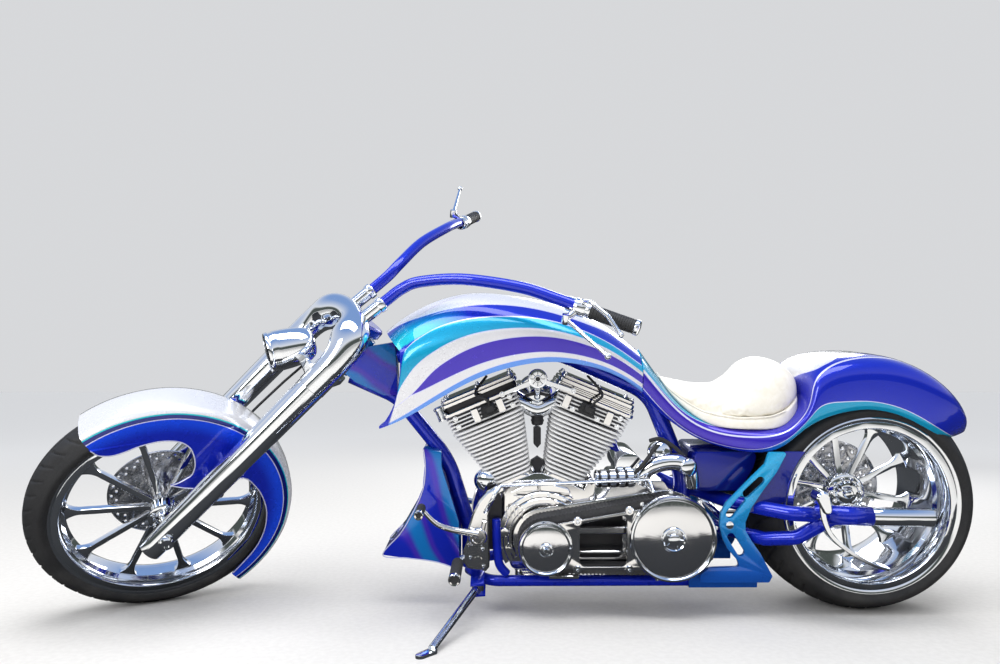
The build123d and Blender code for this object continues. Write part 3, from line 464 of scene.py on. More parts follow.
def finish(name, work, material, place=BIKE, smooth=35):
    """Object from a bmesh in local millimetres, put in place."""
    work.transform(place)
    mesh = bpy.data.meshes.new(name)
    work.to_mesh(mesh)
    work.free()
    mesh.materials.append(material)
    shade(mesh, smooth)
    return link(bpy.data.objects.new(name, mesh))


def outwards(work):
    """Joins what touches and turns the faces outwards."""
    bmesh.ops.remove_doubles(work, verts=work.verts, dist=0.001)
    bmesh.ops.recalc_face_normals(work, faces=work.faces)


def skin(name, sections, rails, material, sharp, thickness):
    """Subdivided skin over matching half sections, each from its lower edge to the middle on top.

    The map "form" holds the share of the length and the rail's own value, and the map "reach" holds the
    section's length in metres.
    """
    work = bmesh.new()
    crease = work.edges.layers.float.new("crease_edge")
    form = work.loops.layers.uv.new("form")
    reach = work.loops.layers.uv.new("reach")
    rows = [list(row) + [Vector((p.x, -p.y, p.z)) for p in reversed(row[:-1])] for row in sections]
    values = list(rails) + list(reversed(rails[:-1]))
    verts = [[work.verts.new(p) for p in row] for row in rows]
    middle = len(sections[0]) // 2
    run = [0.0]
    for a, b in zip(sections, sections[1:]):
        run.append(run[-1] + (b[middle] - a[middle]).length)
    spans = [sum((q - p).length for p, q in zip(row, row[1:])) / 1000 for row in sections]
    for i in range(len(rows) - 1):
        for j in range(len(rows[0]) - 1):
            corners = ((i, j), (i, j + 1), (i + 1, j + 1), (i + 1, j))
            face = work.faces.new([verts[a][b] for a, b in corners])
            for loop, (a, b) in zip(face.loops, corners):
                loop[form].uv = (run[a] / run[-1], values[b])
                loop[reach].uv = (spans[a], values[b])
    last = len(rows[0]) - 1
    for rail, amount in sharp:
        for j in {rail, last - rail}:
            for i in range(len(rows) - 1):
                work.edges.get((verts[i][j], verts[i + 1][j]))[crease] = amount
    work.faces.ensure_lookup_table()
    top = work.faces[(len(rows) // 2) * last + last // 2]
    top.normal_update()
    if top.normal.z < 0:
        bmesh.ops.reverse_faces(work, faces=work.faces)
    obj = finish(name, work, material)
    subdivide(obj, 2)
    modifier(obj, "SOLIDIFY", thickness=thickness / 1000, offset=-1)
    flatten(obj)
    shade(obj.data, 50)
    return obj


def pipe(name, points, radius, material, place=BIKE, sides=20, samples=48, smooth=True):
    """Round bar along a smooth line; radius is one number or (share, radius) points; round ends."""
    work = bmesh.new()
    line = smooth_line(points, samples) if smooth else [Vector(p) for p in points]
    table = radius if isinstance(radius, list) else [(0, radius), (1, radius)]
    rings = []
    side = None
    for i, p in enumerate(line):
        ahead = (line[min(i + 1, len(line) - 1)] - line[max(i - 1, 0)]).normalized()
        side = ahead.orthogonal().normalized() if side is None else (side - ahead * side.dot(ahead)).normalized()
        rings.append((p, ahead, side, at(table, i / (len(line) - 1))))
    p, ahead, side, r = rings[0]
    rings.insert(0, (p - ahead * 0.18 * r, ahead, side, r * 0.8))
    p, ahead, side, r = rings[-1]
    rings.append((p + ahead * 0.18 * r, ahead, side, r * 0.8))
    loops = []
    for p, ahead, side, r in rings:
        other = ahead.cross(side)
        loops.append([
            work.verts.new(p + (side * math.cos(a) + other * math.sin(a)) * r)
            for a in (2 * math.pi * k / sides for k in range(sides))
        ])
    for a, b in zip(loops, loops[1:]):
        for k in range(sides):
            work.faces.new((a[k], a[(k + 1) % sides], b[(k + 1) % sides], b[k]))
    work.faces.new(list(reversed(loops[0])))
    work.faces.new(loops[-1])
    return finish(name, work, material, place, 40)


def lathe(profile, place, steps=64, work=None, closed=False):
    """Form turned about local Z from (radius, height) points, added to a bmesh."""
    work = work or bmesh.new()
    rings = []
    for r, z in profile:
        if r < 0.001:
            rings.append([work.verts.new(place @ Vector((0, 0, z)))])
        else:
            rings.append([
                work.verts.new(place @ Vector((r * math.cos(a), r * math.sin(a), z)))
                for a in (2 * math.pi * k / steps for k in range(steps))
            ])
    pairs = list(zip(rings, rings[1:]))
    if closed:
        pairs.append((rings[-1], rings[0]))
    for a, b in pairs:
        for k in range(steps):
            n = (k + 1) % steps
            if len(a) == 1 and len(b) == 1:
                continue
            if len(a) == 1:
                work.faces.new((a[0], b[k], b[n]))
            elif len(b) == 1:
                work.faces.new((a[k], b[0], a[n]))
            else:
                work.faces.new((a[k], b[k], b[n], a[n]))
    return work


def facing(point, direction):
    """Matrix at a point whose Z runs along a direction."""
    z = Vector(direction).normalized()
    x = Vector((0, 0, 1)).cross(z)
    x = x.normalized() if x.length > 0.01 else z.orthogonal().normalized()
    y = z.cross(x)
    spin = Matrix((x, y, z)).transposed().to_4x4()
    return Matrix.Translation(point) @ spin


def inset(points, amount):
    """Closed outline, drawn anticlockwise, moved inwards."""
    result = []
    for i, p in enumerate(points):
        before, after = (p - points[i - 1]).normalized(), (points[(i + 1) % len(points)] - p).normalized()
        side = Vector((-before.y, before.x))
        normal = (side + Vector((-after.y, after.x))).normalized()
        result.append(p + normal * amount / max(0.5, side.dot(normal)))
    return result


def plate(work, points, low, high, place=None, edge=1.0):
    """Flat plate with chamfered edges from a closed outline, added to a bmesh."""
    place = place or Matrix()
    points = [Vector(p) for p in points]
    if sum(a.x * b.y - b.x * a.y for a, b in zip(points, points[1:] + points[:1])) < 0:
        points.reverse()
    small = inset(points, edge)
    levels = ((small, low), (points, low + edge), (points, high - edge), (small, high))
    rings = [[work.verts.new(place @ Vector((p.x, p.y, z))) for p in ring] for ring, z in levels]
    for a, b in zip(rings, rings[1:]):
        for k in range(len(a)):
            n = (k + 1) % len(a)
            work.faces.new((a[k], a[n], b[n], b[k]))
    work.faces.new(list(reversed(rings[0])))
    work.faces.new(rings[-1])
    return work


def polar(angle, radius):
    """Flat point at an angle and a distance from the middle."""
    return Vector((math.cos(angle), math.sin(angle))) * radius


def rounded(width, height, radius, x=0.0, y=0.0):
    """Outline of a rectangle with round corners."""
    points = []
    for quarter, (across, up) in enumerate(((1, 1), (-1, 1), (-1, -1), (1, -1))):
        middle = Vector((x + across * (width / 2 - radius), y + up * (height / 2 - radius)))
        points += [middle + polar(math.pi / 2 * (quarter + i / 5), radius) for i in range(6)]
    return points


def belt_line(a, a_r, b, b_r):
    """Outline of a loop round two circles, the first in front of the second."""
    a, b = Vector(a), Vector(b)
    along = math.atan2(b.y - a.y, b.x - a.x)
    tilt = math.acos((a_r - b_r) / (b - a).length)
    points = []
    for middle, radius, start, sweep in (
        (a, a_r, along + tilt, 2 * math.pi - 2 * tilt), (b, b_r, along - tilt, 2 * tilt),
    ):
        points += [middle + polar(start + sweep * i / 24, radius) for i in range(25)]
    return points


def arc_point(radius, degrees, y=0.0):
    """Point in a wheel's side view, 90 degrees being up."""
    angle = math.radians(degrees)
    return Vector((radius * math.cos(angle), y, radius * math.sin(angle)))


def hull_outline(*circles):
    """Outline drawn tight round circles given as (x, y, radius)."""
    points = [Vector((x + r * math.cos(a), y + r * math.sin(a)))
              for x, y, r in circles for a in (2 * math.pi * k / 40 for k in range(40))]
    return [points[i] for i in convex_hull_2d(points)]


def blade_outline(points, widths, count=28):
    """Outline of a bent blade from its middle line and half widths along it."""
    line = smooth_line([(x, z, 0) for x, z in points], count)
    left, right = [], []
    for i, p in enumerate(line):
        ahead = (line[min(i + 1, count - 1)] - line[max(i - 1, 0)]).normalized()
        side = Vector((-ahead.y, ahead.x)) * at(widths, i / (count - 1))
        left.append(Vector((p.x, p.y)) + side)
        right.append(Vector((p.x, p.y)) - side)
    return left + right[::-1]


def ring_plate(work, outer, inner, low, high, place):
    """Flat band between two outlines with as many points."""
    rings = []
    for points, z in ((outer, low), (outer, high), (inner, high), (inner, low)):
        rings.append([work.verts.new(place @ Vector((p.x, p.y, z))) for p in points])
    for a, b in zip(rings, rings[1:] + rings[:1]):
        for k in range(len(a)):
            n = (k + 1) % len(a)
            work.faces.new((a[k], a[n], b[n], b[k]))
    return work


# Side view drawn as (x, z), with the third value growing towards the left of the machine
SIDE = Matrix(((1, 0, 0, 0), (0, 0, -1, 0), (0, 1, 0, 0), (0, 0, 0, 1)))


def side_at(x, z):
    """Place in the side view whose Z runs towards the machine's left."""
    return Matrix.Translation((x, 0, z)) @ SIDE


def own(obj, body, node_names=()):
    """Puts a finished piece on its body and the nodes it stands for."""
    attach(obj, body)
    if node_names:
        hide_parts(*node_names)


def join(name, pieces, body, node_names=()):
    """Pieces of one finish as one object on a body, standing for CAD nodes."""
    work = bmesh.new()
    for piece in pieces:
        work.from_mesh(piece.data)
    mesh = bpy.data.meshes.new(name)
    work.to_mesh(mesh)
    work.free()
    mesh.materials.append(pieces[0].data.materials[0])
    for piece in pieces:
        bpy.data.objects.remove(piece)
    shade(mesh, 40)
    obj = link(bpy.data.objects.new(name, mesh))
    own(obj, body, node_names)


def turned_piece(name, profile, place, material, body, node_names=()):
    """One lathed piece from (radius, height) points."""
    work = lathe(profile, Matrix(), 72)
    outwards(work)
    own(finish(name, work, material, place), body, node_names)


def mirrored(points):
    """The same points on the machine's other side."""
    return [Vector((p[0], -p[1], p[2])) for p in points]


# Geometry Nodes trees for what repeats. Their mesh holds one part, and marked spots where it goes


def growth(name, inputs):
    """Geometry Nodes group: the tree, its input node's outputs and its output node."""
    tree = bpy.data.node_groups.new(name, "GeometryNodeTree")
    tree.interface.new_socket("Mesh", in_out="INPUT", socket_type="NodeSocketGeometry")
    for label, kind, default in inputs:
        tree.interface.new_socket(label, in_out="INPUT", socket_type=kind).default_value = default
    tree.interface.new_socket("Material", in_out="INPUT", socket_type="NodeSocketMaterial")
    tree.interface.new_socket("Mesh", in_out="OUTPUT", socket_type="NodeSocketGeometry")
    return tree, tree.nodes.new("NodeGroupInput").outputs, tree.nodes.new("NodeGroupOutput")


def stored(tree, name, kind):
    """Value that the mesh stores under a name."""
    return node(tree, "GeometryNodeInputNamedAttribute", {"Name": name}, data_type=kind).outputs["Attribute"]


def parted(tree, mesh):
    """The spots and the part of one mesh."""
    split = node(tree, "GeometryNodeSeparateGeometry", {"Geometry": mesh, "Selection": stored(tree, "spot", "INT")})
    return split.outputs["Selection"], split.outputs["Inverted"]


def sow(tree, given, end, points, part, **inputs):
    """The part at every point, made real and given its material."""
    placed = node(tree, "GeometryNodeInstanceOnPoints", {"Points": points, "Instance": part, **inputs})
    real = node(tree, "GeometryNodeRealizeInstances", {"Geometry": placed.outputs["Instances"]})
    looks = node(tree, "GeometryNodeSetMaterial",
                 {"Geometry": real.outputs["Geometry"], "Material": given["Material"]})
    tree.links.new(looks.outputs["Geometry"], end.inputs["Mesh"])
    return tree


def build_fasteners():
    """A head on every spot, its Z along the direction stored there."""
    tree, given, end = growth("fasteners", [("Size", FLOAT, 1.0)])
    spots, head = parted(tree, given["Mesh"])
    turn = node(tree, "FunctionNodeAlignRotationToVector", {"Vector": stored(tree, "facing", "FLOAT_VECTOR")},
                axis="Z")
    return sow(tree, given, end, spots, head, Rotation=turn.outputs["Rotation"], Scale=given["Size"])


def build_fin_stack():
    """Plates one over the other, each wider than the one below."""
    tree, given, end = growth(
        "fin_stack", [("Count", INT, 12), ("Pitch", FLOAT, 10.0), ("Shift", FLOAT, 0.0), ("Growth", FLOAT, 0.05)])
    step = node(tree, "ShaderNodeCombineXYZ", {"X": given["Shift"], "Z": given["Pitch"]}).outputs[0]
    line = node(tree, "GeometryNodeMeshLine", {"Count": given["Count"], "Offset": step})
    level = node(tree, "GeometryNodeInputIndex").outputs[0]
    wide = maths(tree, "MULTIPLY_ADD", level, given["Growth"], 1.0)
    scale = node(tree, "ShaderNodeCombineXYZ", {"X": wide, "Y": 1.0, "Z": 1.0}).outputs[0]
    return sow(tree, given, end, line.outputs["Mesh"], given["Mesh"], Scale=scale)


def build_row_along_line():
    """The part evenly spaced along the line of spots, its X along it, turned about Y alone."""
    tree, given, end = growth("row_along_line", [("Spacing", FLOAT, 8.0)])
    line, part = parted(tree, given["Mesh"])
    curve = node(tree, "GeometryNodeMeshToCurve", {"Mesh": line}).outputs["Curve"]
    even = node(tree, "GeometryNodeResampleCurve", {"Curve": curve, "Length": given["Spacing"]}, mode="LENGTH")
    tangent = node(tree, "GeometryNodeInputTangent").outputs[0]
    turn = node(tree, "FunctionNodeAlignRotationToVector", {"Vector": tangent}, axis="X", pivot_axis="Y")
    return sow(tree, given, end, even.outputs["Curve"], part, Rotation=turn.outputs["Rotation"])


def build_ring_of_parts():
    """Copies of the part round Z, each with its X away from the middle."""
    tree, given, end = growth("ring_of_parts", [("Count", INT, 6), ("Radius", FLOAT, 40.0)])
    circle = node(tree, "GeometryNodeMeshCircle", {"Vertices": given["Count"], "Radius": given["Radius"]})
    away = node(tree, "GeometryNodeInputPosition").outputs[0]
    turn = node(tree, "FunctionNodeAlignRotationToVector", {"Vector": away}, axis="X", pivot_axis="Z")
    return sow(tree, given, end, circle.outputs["Mesh"], given["Mesh"], Rotation=turn.outputs["Rotation"])


FASTENERS = build_fasteners()
FIN_STACK = build_fin_stack()
ROW_ALONG_LINE = build_row_along_line()
RING_OF_PARTS = build_ring_of_parts()


def mark(work, spots, chain=False):
    """Adds spots, as (point, direction), to a bmesh that holds the part; a chain joins them in a loop."""
    spot = work.verts.layers.int.new("spot")
    toward = work.verts.layers.float_vector.new("facing")
    verts = []
    for point, direction in spots:
        vert = work.verts.new(point)
        vert[spot] = 1
        vert[toward] = direction
        verts.append(vert)
    if chain:
        for a, b in zip(verts, verts[1:] + verts[:1]):
            work.edges.new((a, b))
    return work


def grown(name, work, tree, values, material, place=BIKE):
    """Plain mesh that a Geometry Nodes tree grows from a bmesh, put in place."""
    mesh = bpy.data.meshes.new(name)
    work.to_mesh(mesh)
    work.free()
    obj = link(bpy.data.objects.new(name, mesh))
    maker = obj.modifiers.new("maker", "NODES")
    maker.node_group = tree
    values = {**values, "Material": material}
    for item in tree.interface.items_tree:
        if item.in_out == "INPUT" and item.name in values:
            maker[item.identifier] = values[item.name]
    flatten(obj)
    for attribute in ("spot", "facing"):
        if attribute in obj.data.attributes:
            obj.data.attributes.remove(obj.data.attributes[attribute])
    obj.data.transform(place)
    shade(obj.data, 35)
    return obj


def bolt_head(radius=5.0, height=5.0):
    """Socket screw: washer, round head and a six-sided recess."""
    work = lathe([(0, 0), (radius * 1.45, 0), (radius * 1.45, height * 0.22), (radius, height * 0.25),
                  (radius, height * 0.9), (radius * 0.86, height), (radius * 0.52, height),
                  (radius * 0.45, height * 0.5), (0, height * 0.5)], Matrix(), 18)
    outwards(work)
    return work


def bolts(name, spots, body, radius=5.0, height=5.0, place=BIKE):
    """Screws on a list of (point, direction)."""
    obj = grown(name, mark(bolt_head(radius, height), spots), FASTENERS, {"Size": 1.0}, CHROME, place)
    own(obj, body)


# Paint with bands that follow a skin's own maps


def curve_value(tree, value, points):
    """Float Curve through points whose values lie between 0 and 1."""
    item = node(tree, "ShaderNodeFloatCurve", {"Value": value})
    line = item.mapping.curves[0]
    line.points[0].location = points[0]
    line.points[-1].location = points[-1]
    for point in points[1:-1]:
        line.points.new(*point)
    item.mapping.update()
    return item.outputs[0]


def form_maps(tree):
    """Share of the length, rail value and section length in millimetres."""
    form = node(tree, "ShaderNodeUVMap", uv_map="form").outputs[0]
    split = node(tree, "ShaderNodeSeparateXYZ", {"Vector": form}).outputs
    reach = node(tree, "ShaderNodeUVMap", uv_map="reach").outputs[0]
    span = node(tree, "ShaderNodeSeparateXYZ", {"Vector": reach}).outputs["X"]
    return split["X"], split["Y"], maths(tree, "MULTIPLY", span, 1000.0)


def painted_edge(tree, under, over, share, rail, span, points, width=1.4, line=LILAC):
    """Paint edge along a curve of rail value over the length, with a pinstripe."""
    gap = maths(tree, "SUBTRACT", rail, curve_value(tree, share, points))
    distance = maths(tree, "MULTIPLY", gap, span)
    band = {"Distance": distance, "Half Width": width, "Under": under, "Over": over, "Line": line}
    return use(tree, BAND, band)["Color"]


def tank_paint():
    """Sweeping bands along the tank, from its lower edge to its crown, and a teal painted highlight high on the front
    flanks.
    """
    material, tree, shader = paint_material("tank_paint")
    share, rail, span = form_maps(tree)
    colour = SKY
    for over, points, width in (
        (PEARL, [(0, 0.02), (0.3, 0.06), (1, 0.10)], 1.2),
        (VIOLET, [(0, 0.16), (0.3, 0.15), (1, 0.18)], 1.6),
        (PEARL, [(0, 0.13), (0.07, 0.14), (0.22, 0.30), (0.5, 0.37), (1, 0.36)], 1.6),
        (TURQUOISE, [(0, 0.16), (0.05, 0.28), (0.16, 0.42), (0.5, 0.47), (1, 0.43)], 1.6),
        (ROYAL, [(0, 0.52), (0.06, 0.58), (0.5, 0.60), (1, 0.58)], 2.2),
        (PEARL, [(0, 0.90), (0.12, 0.80), (0.5, 0.74), (0.8, 0.76), (1, 0.98)], 2.2),
    ):
        colour = painted_edge(tree, colour, over, share, rail, span, points, width)
    # Painted highlight: teal on the upper front flank, where the sky lights the tank
    painted_highlight = maths(tree, "MULTIPLY", ramp(tree, share, 0.30, 0.02), ramp(tree, rail, 0.585, 0.61))
    painted_highlight = maths(tree, "MULTIPLY", painted_highlight, ramp(tree, rail, 0.86, 0.66))
    colour = blend(tree, painted_highlight, colour, TEAL)
    nose = maths(tree, "MULTIPLY", ramp(tree, share, 0.026, 0.020), ramp(tree, rail, 0.62, 0.60))
    colour = blend(tree, nose, colour, ROYAL)
    finish_paint(tree, shader, colour)
    return material


def tail_paint():
    """Bands that run on from the tank, under the seat and over the rear wheel."""
    material, tree, shader = paint_material("tail_paint")
    share, rail, span = form_maps(tree)
    fade = blend(tree, ramp(tree, share, 0.2, 0.6, smooth=True), VIOLET, ROYAL)
    colour = blend(tree, ramp(tree, share, 0.3, 0.5, smooth=True), ROYAL, TURQUOISE)
    for over, points, width in (
        (fade, [(0, 0.08), (0.3, 0.10), (0.42, 0.24), (0.5, 0.25), (0.62, 0.15), (1, 0.12)], 1.6),
        (PEARL, [(0, 0.36), (0.2, 0.40), (0.45, 0.50), (0.55, 0.60), (0.7, 0.71), (1, 0.74)], 1.4),
        (fade, [(0, 0.43), (0.2, 0.44), (0.45, 0.52), (0.55, 0.615), (0.7, 0.73), (1, 0.77)], 1.4),
        (TURQUOISE, [(0, 0.43), (0.15, 0.52), (0.3, 0.70), (0.5, 0.98), (1, 0.99)], 1.4),
        (PEARL, [(0, 1.0), (0.5, 1.0), (0.56, 0.70), (0.62, 0.80), (0.68, 0.91), (0.74, 1.0), (1, 1.0)], 2.4),
    ):
        colour = painted_edge(tree, colour, over, share, rail, span, points, width)
    finish_paint(tree, shader, colour)
    return material


def fender_paint():
    """White crown and royal blue sides with a teal line between them; a brighter blue band high on the sides is a
    painted highlight.
    """
    material, tree, shader = paint_material("front_fender_paint")
    share, rail, span = form_maps(tree)
    x, z = machine_place(tree, FRONT_WHEEL)[0:3:2]
    radius = maths(tree, "SQRT", maths(tree, "ADD", maths(tree, "MULTIPLY", x, x), maths(tree, "MULTIPLY", z, z)))
    # Painted highlight: brighter blue in a band high on the flat sides
    painted_highlight = maths(tree, "MULTIPLY", ramp(tree, radius, 285, 330, smooth=True), ramp(tree, radius, 362, 335, smooth=True))
    side = blend(tree, painted_highlight, ROYAL, rgb(0.01, 0.07, 0.82))
    colour = painted_edge(tree, side, DEEP, share, rail, span, [(0, 0.27), (0.5, 0.28), (1, 0.30)], 1.6, LILAC)
    colour = painted_edge(tree, colour, PEARL, share, rail, span, [(0, 0.42), (0.5, 0.43), (1, 0.45)], 2.2, TEAL)
    finish_paint(tree, shader, colour)
    return material


def swirl_paint(name):
    """Candy paint whose violet, royal and teal run into each other in swirls."""
    material, tree, shader = paint_material(name)
    place = machine_place(tree)[3]
    small = node(tree, "ShaderNodeVectorMath", {0: place, "Scale": 0.006}, operation="SCALE").outputs[0]
    wave = node(tree, "ShaderNodeTexWave", {"Vector": small, "Scale": 0.4, "Distortion": 9.0, "Detail": 1.5},
                bands_direction="DIAGONAL")
    bands = wave.outputs["Fac"]
    colour = blend(tree, ramp(tree, bands, 0.15, 0.5, smooth=True), ROYAL, VIOLET)
    colour = blend(tree, ramp(tree, bands, 0.55, 0.95, smooth=True), colour, rgb(0.006, 0.17, 0.52))
    finish_paint(tree, shader, colour)
    return material


SWIRL_PAINT = swirl_paint("swirl_paint")
DEEP_PAINT = plain_paint("deep_blue", DEEP, rgb(0.005, 0.016, 0.34), 330, 640)
TANK_PAINT = tank_paint()
TAIL_PAINT = tail_paint()
FENDER_PAINT = fender_paint()

# Half width of tank and tail along the machine
HALF_WIDTH = [(-1440, 138), (-1400, 146), (-1300, 152), (-1100, 154), (-950, 150), (-820, 138), (-720, 118),
              (-662, 105), (-600, 97), (-540, 94), (-480, 100), (-420, 118), (-360, 142), (-310, 160), (-260, 170),
              (-200, 173), (110, 173), (166, 165), (220, 132), (270, 76)]


def make_tank():
    """Stretched tank: a shell with a shoulder crease, open below over the backbone."""
    lower = [(-1438, 562), (-1395, 578), (-1350, 600), (-1300, 629), (-1233, 668), (-1167, 703), (-1101, 729),
             (-1034, 747), (-968, 757), (-902, 757), (-835, 747), (-769, 727), (-705, 695), (-662.5, 664)]
    crease = [(-1376, 790), (-1330, 828), (-1232, 866), (-1115, 888), (-999, 888), (-882, 864), (-765, 814),
              (-662.5, 746)]
    crown = [(-1436, 848), (-1395, 884), (-1327, 923), (-1256, 952), (-1163, 968), (-1040, 957), (-901, 925),
             (-778, 873), (-700, 818), (-662.5, 786)]
    front = [(-1438, 562), (-1394, 620), (-1378, 680), (-1371, 735), (-1376, 790)]
    count = 22
    low = smooth_line([(x, 0, z) for x, z in lower], count)
    shoulder = smooth_line([(x, 0, z) for x, z in crease], count)
    top = smooth_line([(x, 0, z) for x, z in crown], count)
    sections = []
    for i, (a, b, c) in enumerate(zip(low, shoulder, top)):
        half_low, half_high = at(HALF_WIDTH, a.x), at(HALF_WIDTH, b.x)
        bow = 1 - min(i / 3, 1)
        row = [Vector((a.x + 10, -half_low + 40, a.z + 14)), Vector((a.x, 8 - half_low, a.z))]
        for share in (0.25, 0.55, 0.82):
            p = a.lerp(b, share)
            edge = at([(z, x) for x, z in front], p.z)
            p.x += (edge - p.x) * bow
            half = half_low + (half_high - half_low) * share
            row.append(Vector((p.x, -half + (3 if share == 0.25 else 0), p.z)))
        row.append(Vector((b.x, 22 - half_high, b.z)))
        for share, y in ((0.42, 0.66), (0.80, 0.36), (1.0, 0.0)):
            p = b.lerp(c, share)
            row.append(Vector((p.x, -y * half_high, b.z + (c.z - b.z) * share)))
        sections.append(row)
    rails = [-0.04, 0, 0.15, 0.33, 0.49, 0.6, 0.72, 0.86, 1.0]
    tank = skin("tank_skin", sections, rails, TANK_PAINT, ((1, 0.8), (5, 0.75)), 6)
    own(tank, "root", ("fuel_tank",))


def make_tail():
    """Tail body: narrow behind the tank, dished under the seat and crowned over the rear wheel."""
    rows = [
        ((-661.5, 664), (-661.5, 786), 0.0), ((-612, 610), (-612, 716), 0.1), ((-562, 570), (-562, 640), 0.4),
        ((-505, 532), (-505, 588), 0.8), ((-440, 509), (-440, 560), 1.0), ((-372, 497), (-372, 557), 1.0),
        ((-312, 498), (-305, 557), 1.0), ((-268, 520), (-252, 566), 1.0), ((-238, 548), (-208, 602), 1.0),
        ((-206, 574), (-180, 652), 1.0), ((-166, 598), (-184, 722), 1.0), ((-118, 615), (-140, 756), 1.0),
        ((-66, 625), (-88, 769), 1.0), ((-13, 628), (-6, 775), 1.0), ((58, 613), (84, 764), 1.0),
        ((116, 585), (172, 724), 1.0), ((166, 556), (246, 662), 1.0), ((220, 536), (298, 590), 1.0),
        ((270, 530), (314, 548), 1.0),
    ]
    tank_like = [(0.93, 0.0), (0.99, 0.2), (1.0, 0.4), (0.93, 0.58), (0.78, 0.67), (0.5, 0.84), (0.2, 0.95), (0, 1.0)]
    crowned = [(0.965, 0.0), (1.0, 0.12), (1.0, 0.42), (0.985, 0.68), (0.91, 0.88), (0.66, 0.985), (0.3, 1.0), (0, 1.0)]
    sections = []
    for (low_x, low_z), (top_x, top_z), mix in rows:
        row = []
        for a, b in zip(tank_like, crowned):
            y, rise = a[0] + (b[0] - a[0]) * mix, a[1] + (b[1] - a[1]) * mix
            x = low_x + (top_x - low_x) * rise
            row.append(Vector((x, -y * at(HALF_WIDTH, low_x), low_z + (top_z - low_z) * rise)))
        first = row[0]
        row.insert(0, Vector((first.x, first.y + 26, first.z + 4)))
        sections.append(row)
    rails = [-0.05, 0, 0.14, 0.3, 0.46, 0.6, 0.76, 0.9, 1.0]
    tail = skin("tail_skin", sections, rails, TAIL_PAINT, ((1, 0.85),), 5)
    own(tail, "root", ("tail_body",))


def make_front_fender():
    """Front fender: crowned strip over the tyre with deep flat sides and a tongue to the fork."""
    half, steps = 76, 60
    angles = [-57 + 176 * i / steps for i in range(steps + 1)]
    outer = [(-57, 366), (-20, 371), (30, 372), (80, 369), (119, 362)]
    rear_edge = [(312, -56), (305, -38), (300, -24), (290, -10), (277, 2), (264, 12), (247, 22), (200, 27),
                 (150, 34), (126, 46), (116, 60), (119, 76)]
    front_edge = [(119, 76), (128, 68), (148, 61), (165, 58), (195, 60), (222, 64), (248, 69), (264, 76), (268, 86),
                  (265, 97), (262, 106), (268, 113), (288, 118), (312, 119)]
    profile = [(1.0, 52), (1.0, 34), (0.975, 20), (0.86, 8), (0.62, 2), (0.3, 0), (0, -1)]
    work = bmesh.new()
    form = work.loops.layers.uv.new("form")
    reach = work.loops.layers.uv.new("reach")
    full = [(-y * half, drop, 0.12 + 0.88 * k / 6) for k, (y, drop) in enumerate(profile)]
    full += [(-y, drop, v) for y, drop, v in reversed(full[:-1])]
    grid = []
    for angle in angles:
        radius = at(outer, angle)
        grid.append([work.verts.new(arc_point(radius - drop, angle, y)) for y, drop, v in full])
    for i in range(steps):
        for j in range(len(full) - 1):
            corners = ((i, j), (i + 1, j), (i + 1, j + 1), (i, j + 1))
            face = work.faces.new([grid[a][b] for a, b in corners])
            for loop, (a, b) in zip(face.loops, corners):
                loop[form].uv = (a / steps, full[b][2])
                loop[reach].uv = (0.13, full[b][2])
    lines = []
    for y, column in ((-half, 0), (half, -1)):
        rear_line = smooth_line([arc_point(radius, angle, y) for radius, angle in rear_edge], 46)
        front_line = smooth_line([arc_point(radius, angle, y) for radius, angle in front_edge], 54)
        edge_line = rear_line + front_line[1:]
        rim = [grid[i][column] for i in range(steps + 1)]
        corners = rim + [work.verts.new(p) for p in reversed(edge_line)]
        for triple in tessellate_polygon([[v.co for v in corners]]):
            face = work.faces.new([corners[k] for k in triple])
            for loop in face.loops:
                loop[form].uv = (0.5, 0.05)
                loop[reach].uv = (0.13, 0.05)
        bead = half + 0.8 if y > 0 else -half - 0.8
        lines.append([Vector((p.x, bead, p.z)) for p in edge_line])
    bmesh.ops.recalc_face_normals(work, faces=work.faces)
    best = max(work.faces, key=lambda f: f.calc_center_median().z)
    if best.normal.z < 0:
        bmesh.ops.reverse_faces(work, faces=work.faces)
    fender = finish("front_fender_skin", work, FENDER_PAINT, FRONT_WHEEL, 45)
    modifier(fender, "SOLIDIFY", thickness=0.005, offset=-1)
    flatten(fender)
    shade(fender.data, 45)
    own(fender, "fork", ("front_fender",))
    # Pale beads on the side edges: painted highlight of the rolled edge
    beads = [pipe("bead", line, 1.7, EDGE_HIGHLIGHT, FRONT_WHEEL, sides=8, samples=2, smooth=False) for line in lines]
    join("front_fender_edge_highlight_beads", beads, "fork")


# Handlebars: chrome riser sleeves, one swept blue bar on each side, ribbed grips with chrome ends
RISER_FOOT = Vector((-1528, 53, 911))
RISER_TOP = Vector((-1394, 57, 1012))
BAR_LINE = [(-1500, 54, 932), (-1450, 55.4, 970), (-1408, 60, 1002), (-1362, 86, 1030), (-1262, 172, 1062),
            (-1134, 284, 1069), (-1060, 364, 1059), (-986, 439, 1043)]
BAR_END = Vector(BAR_LINE[-1])
GRIP_END = Vector((-904, 535, 1029))


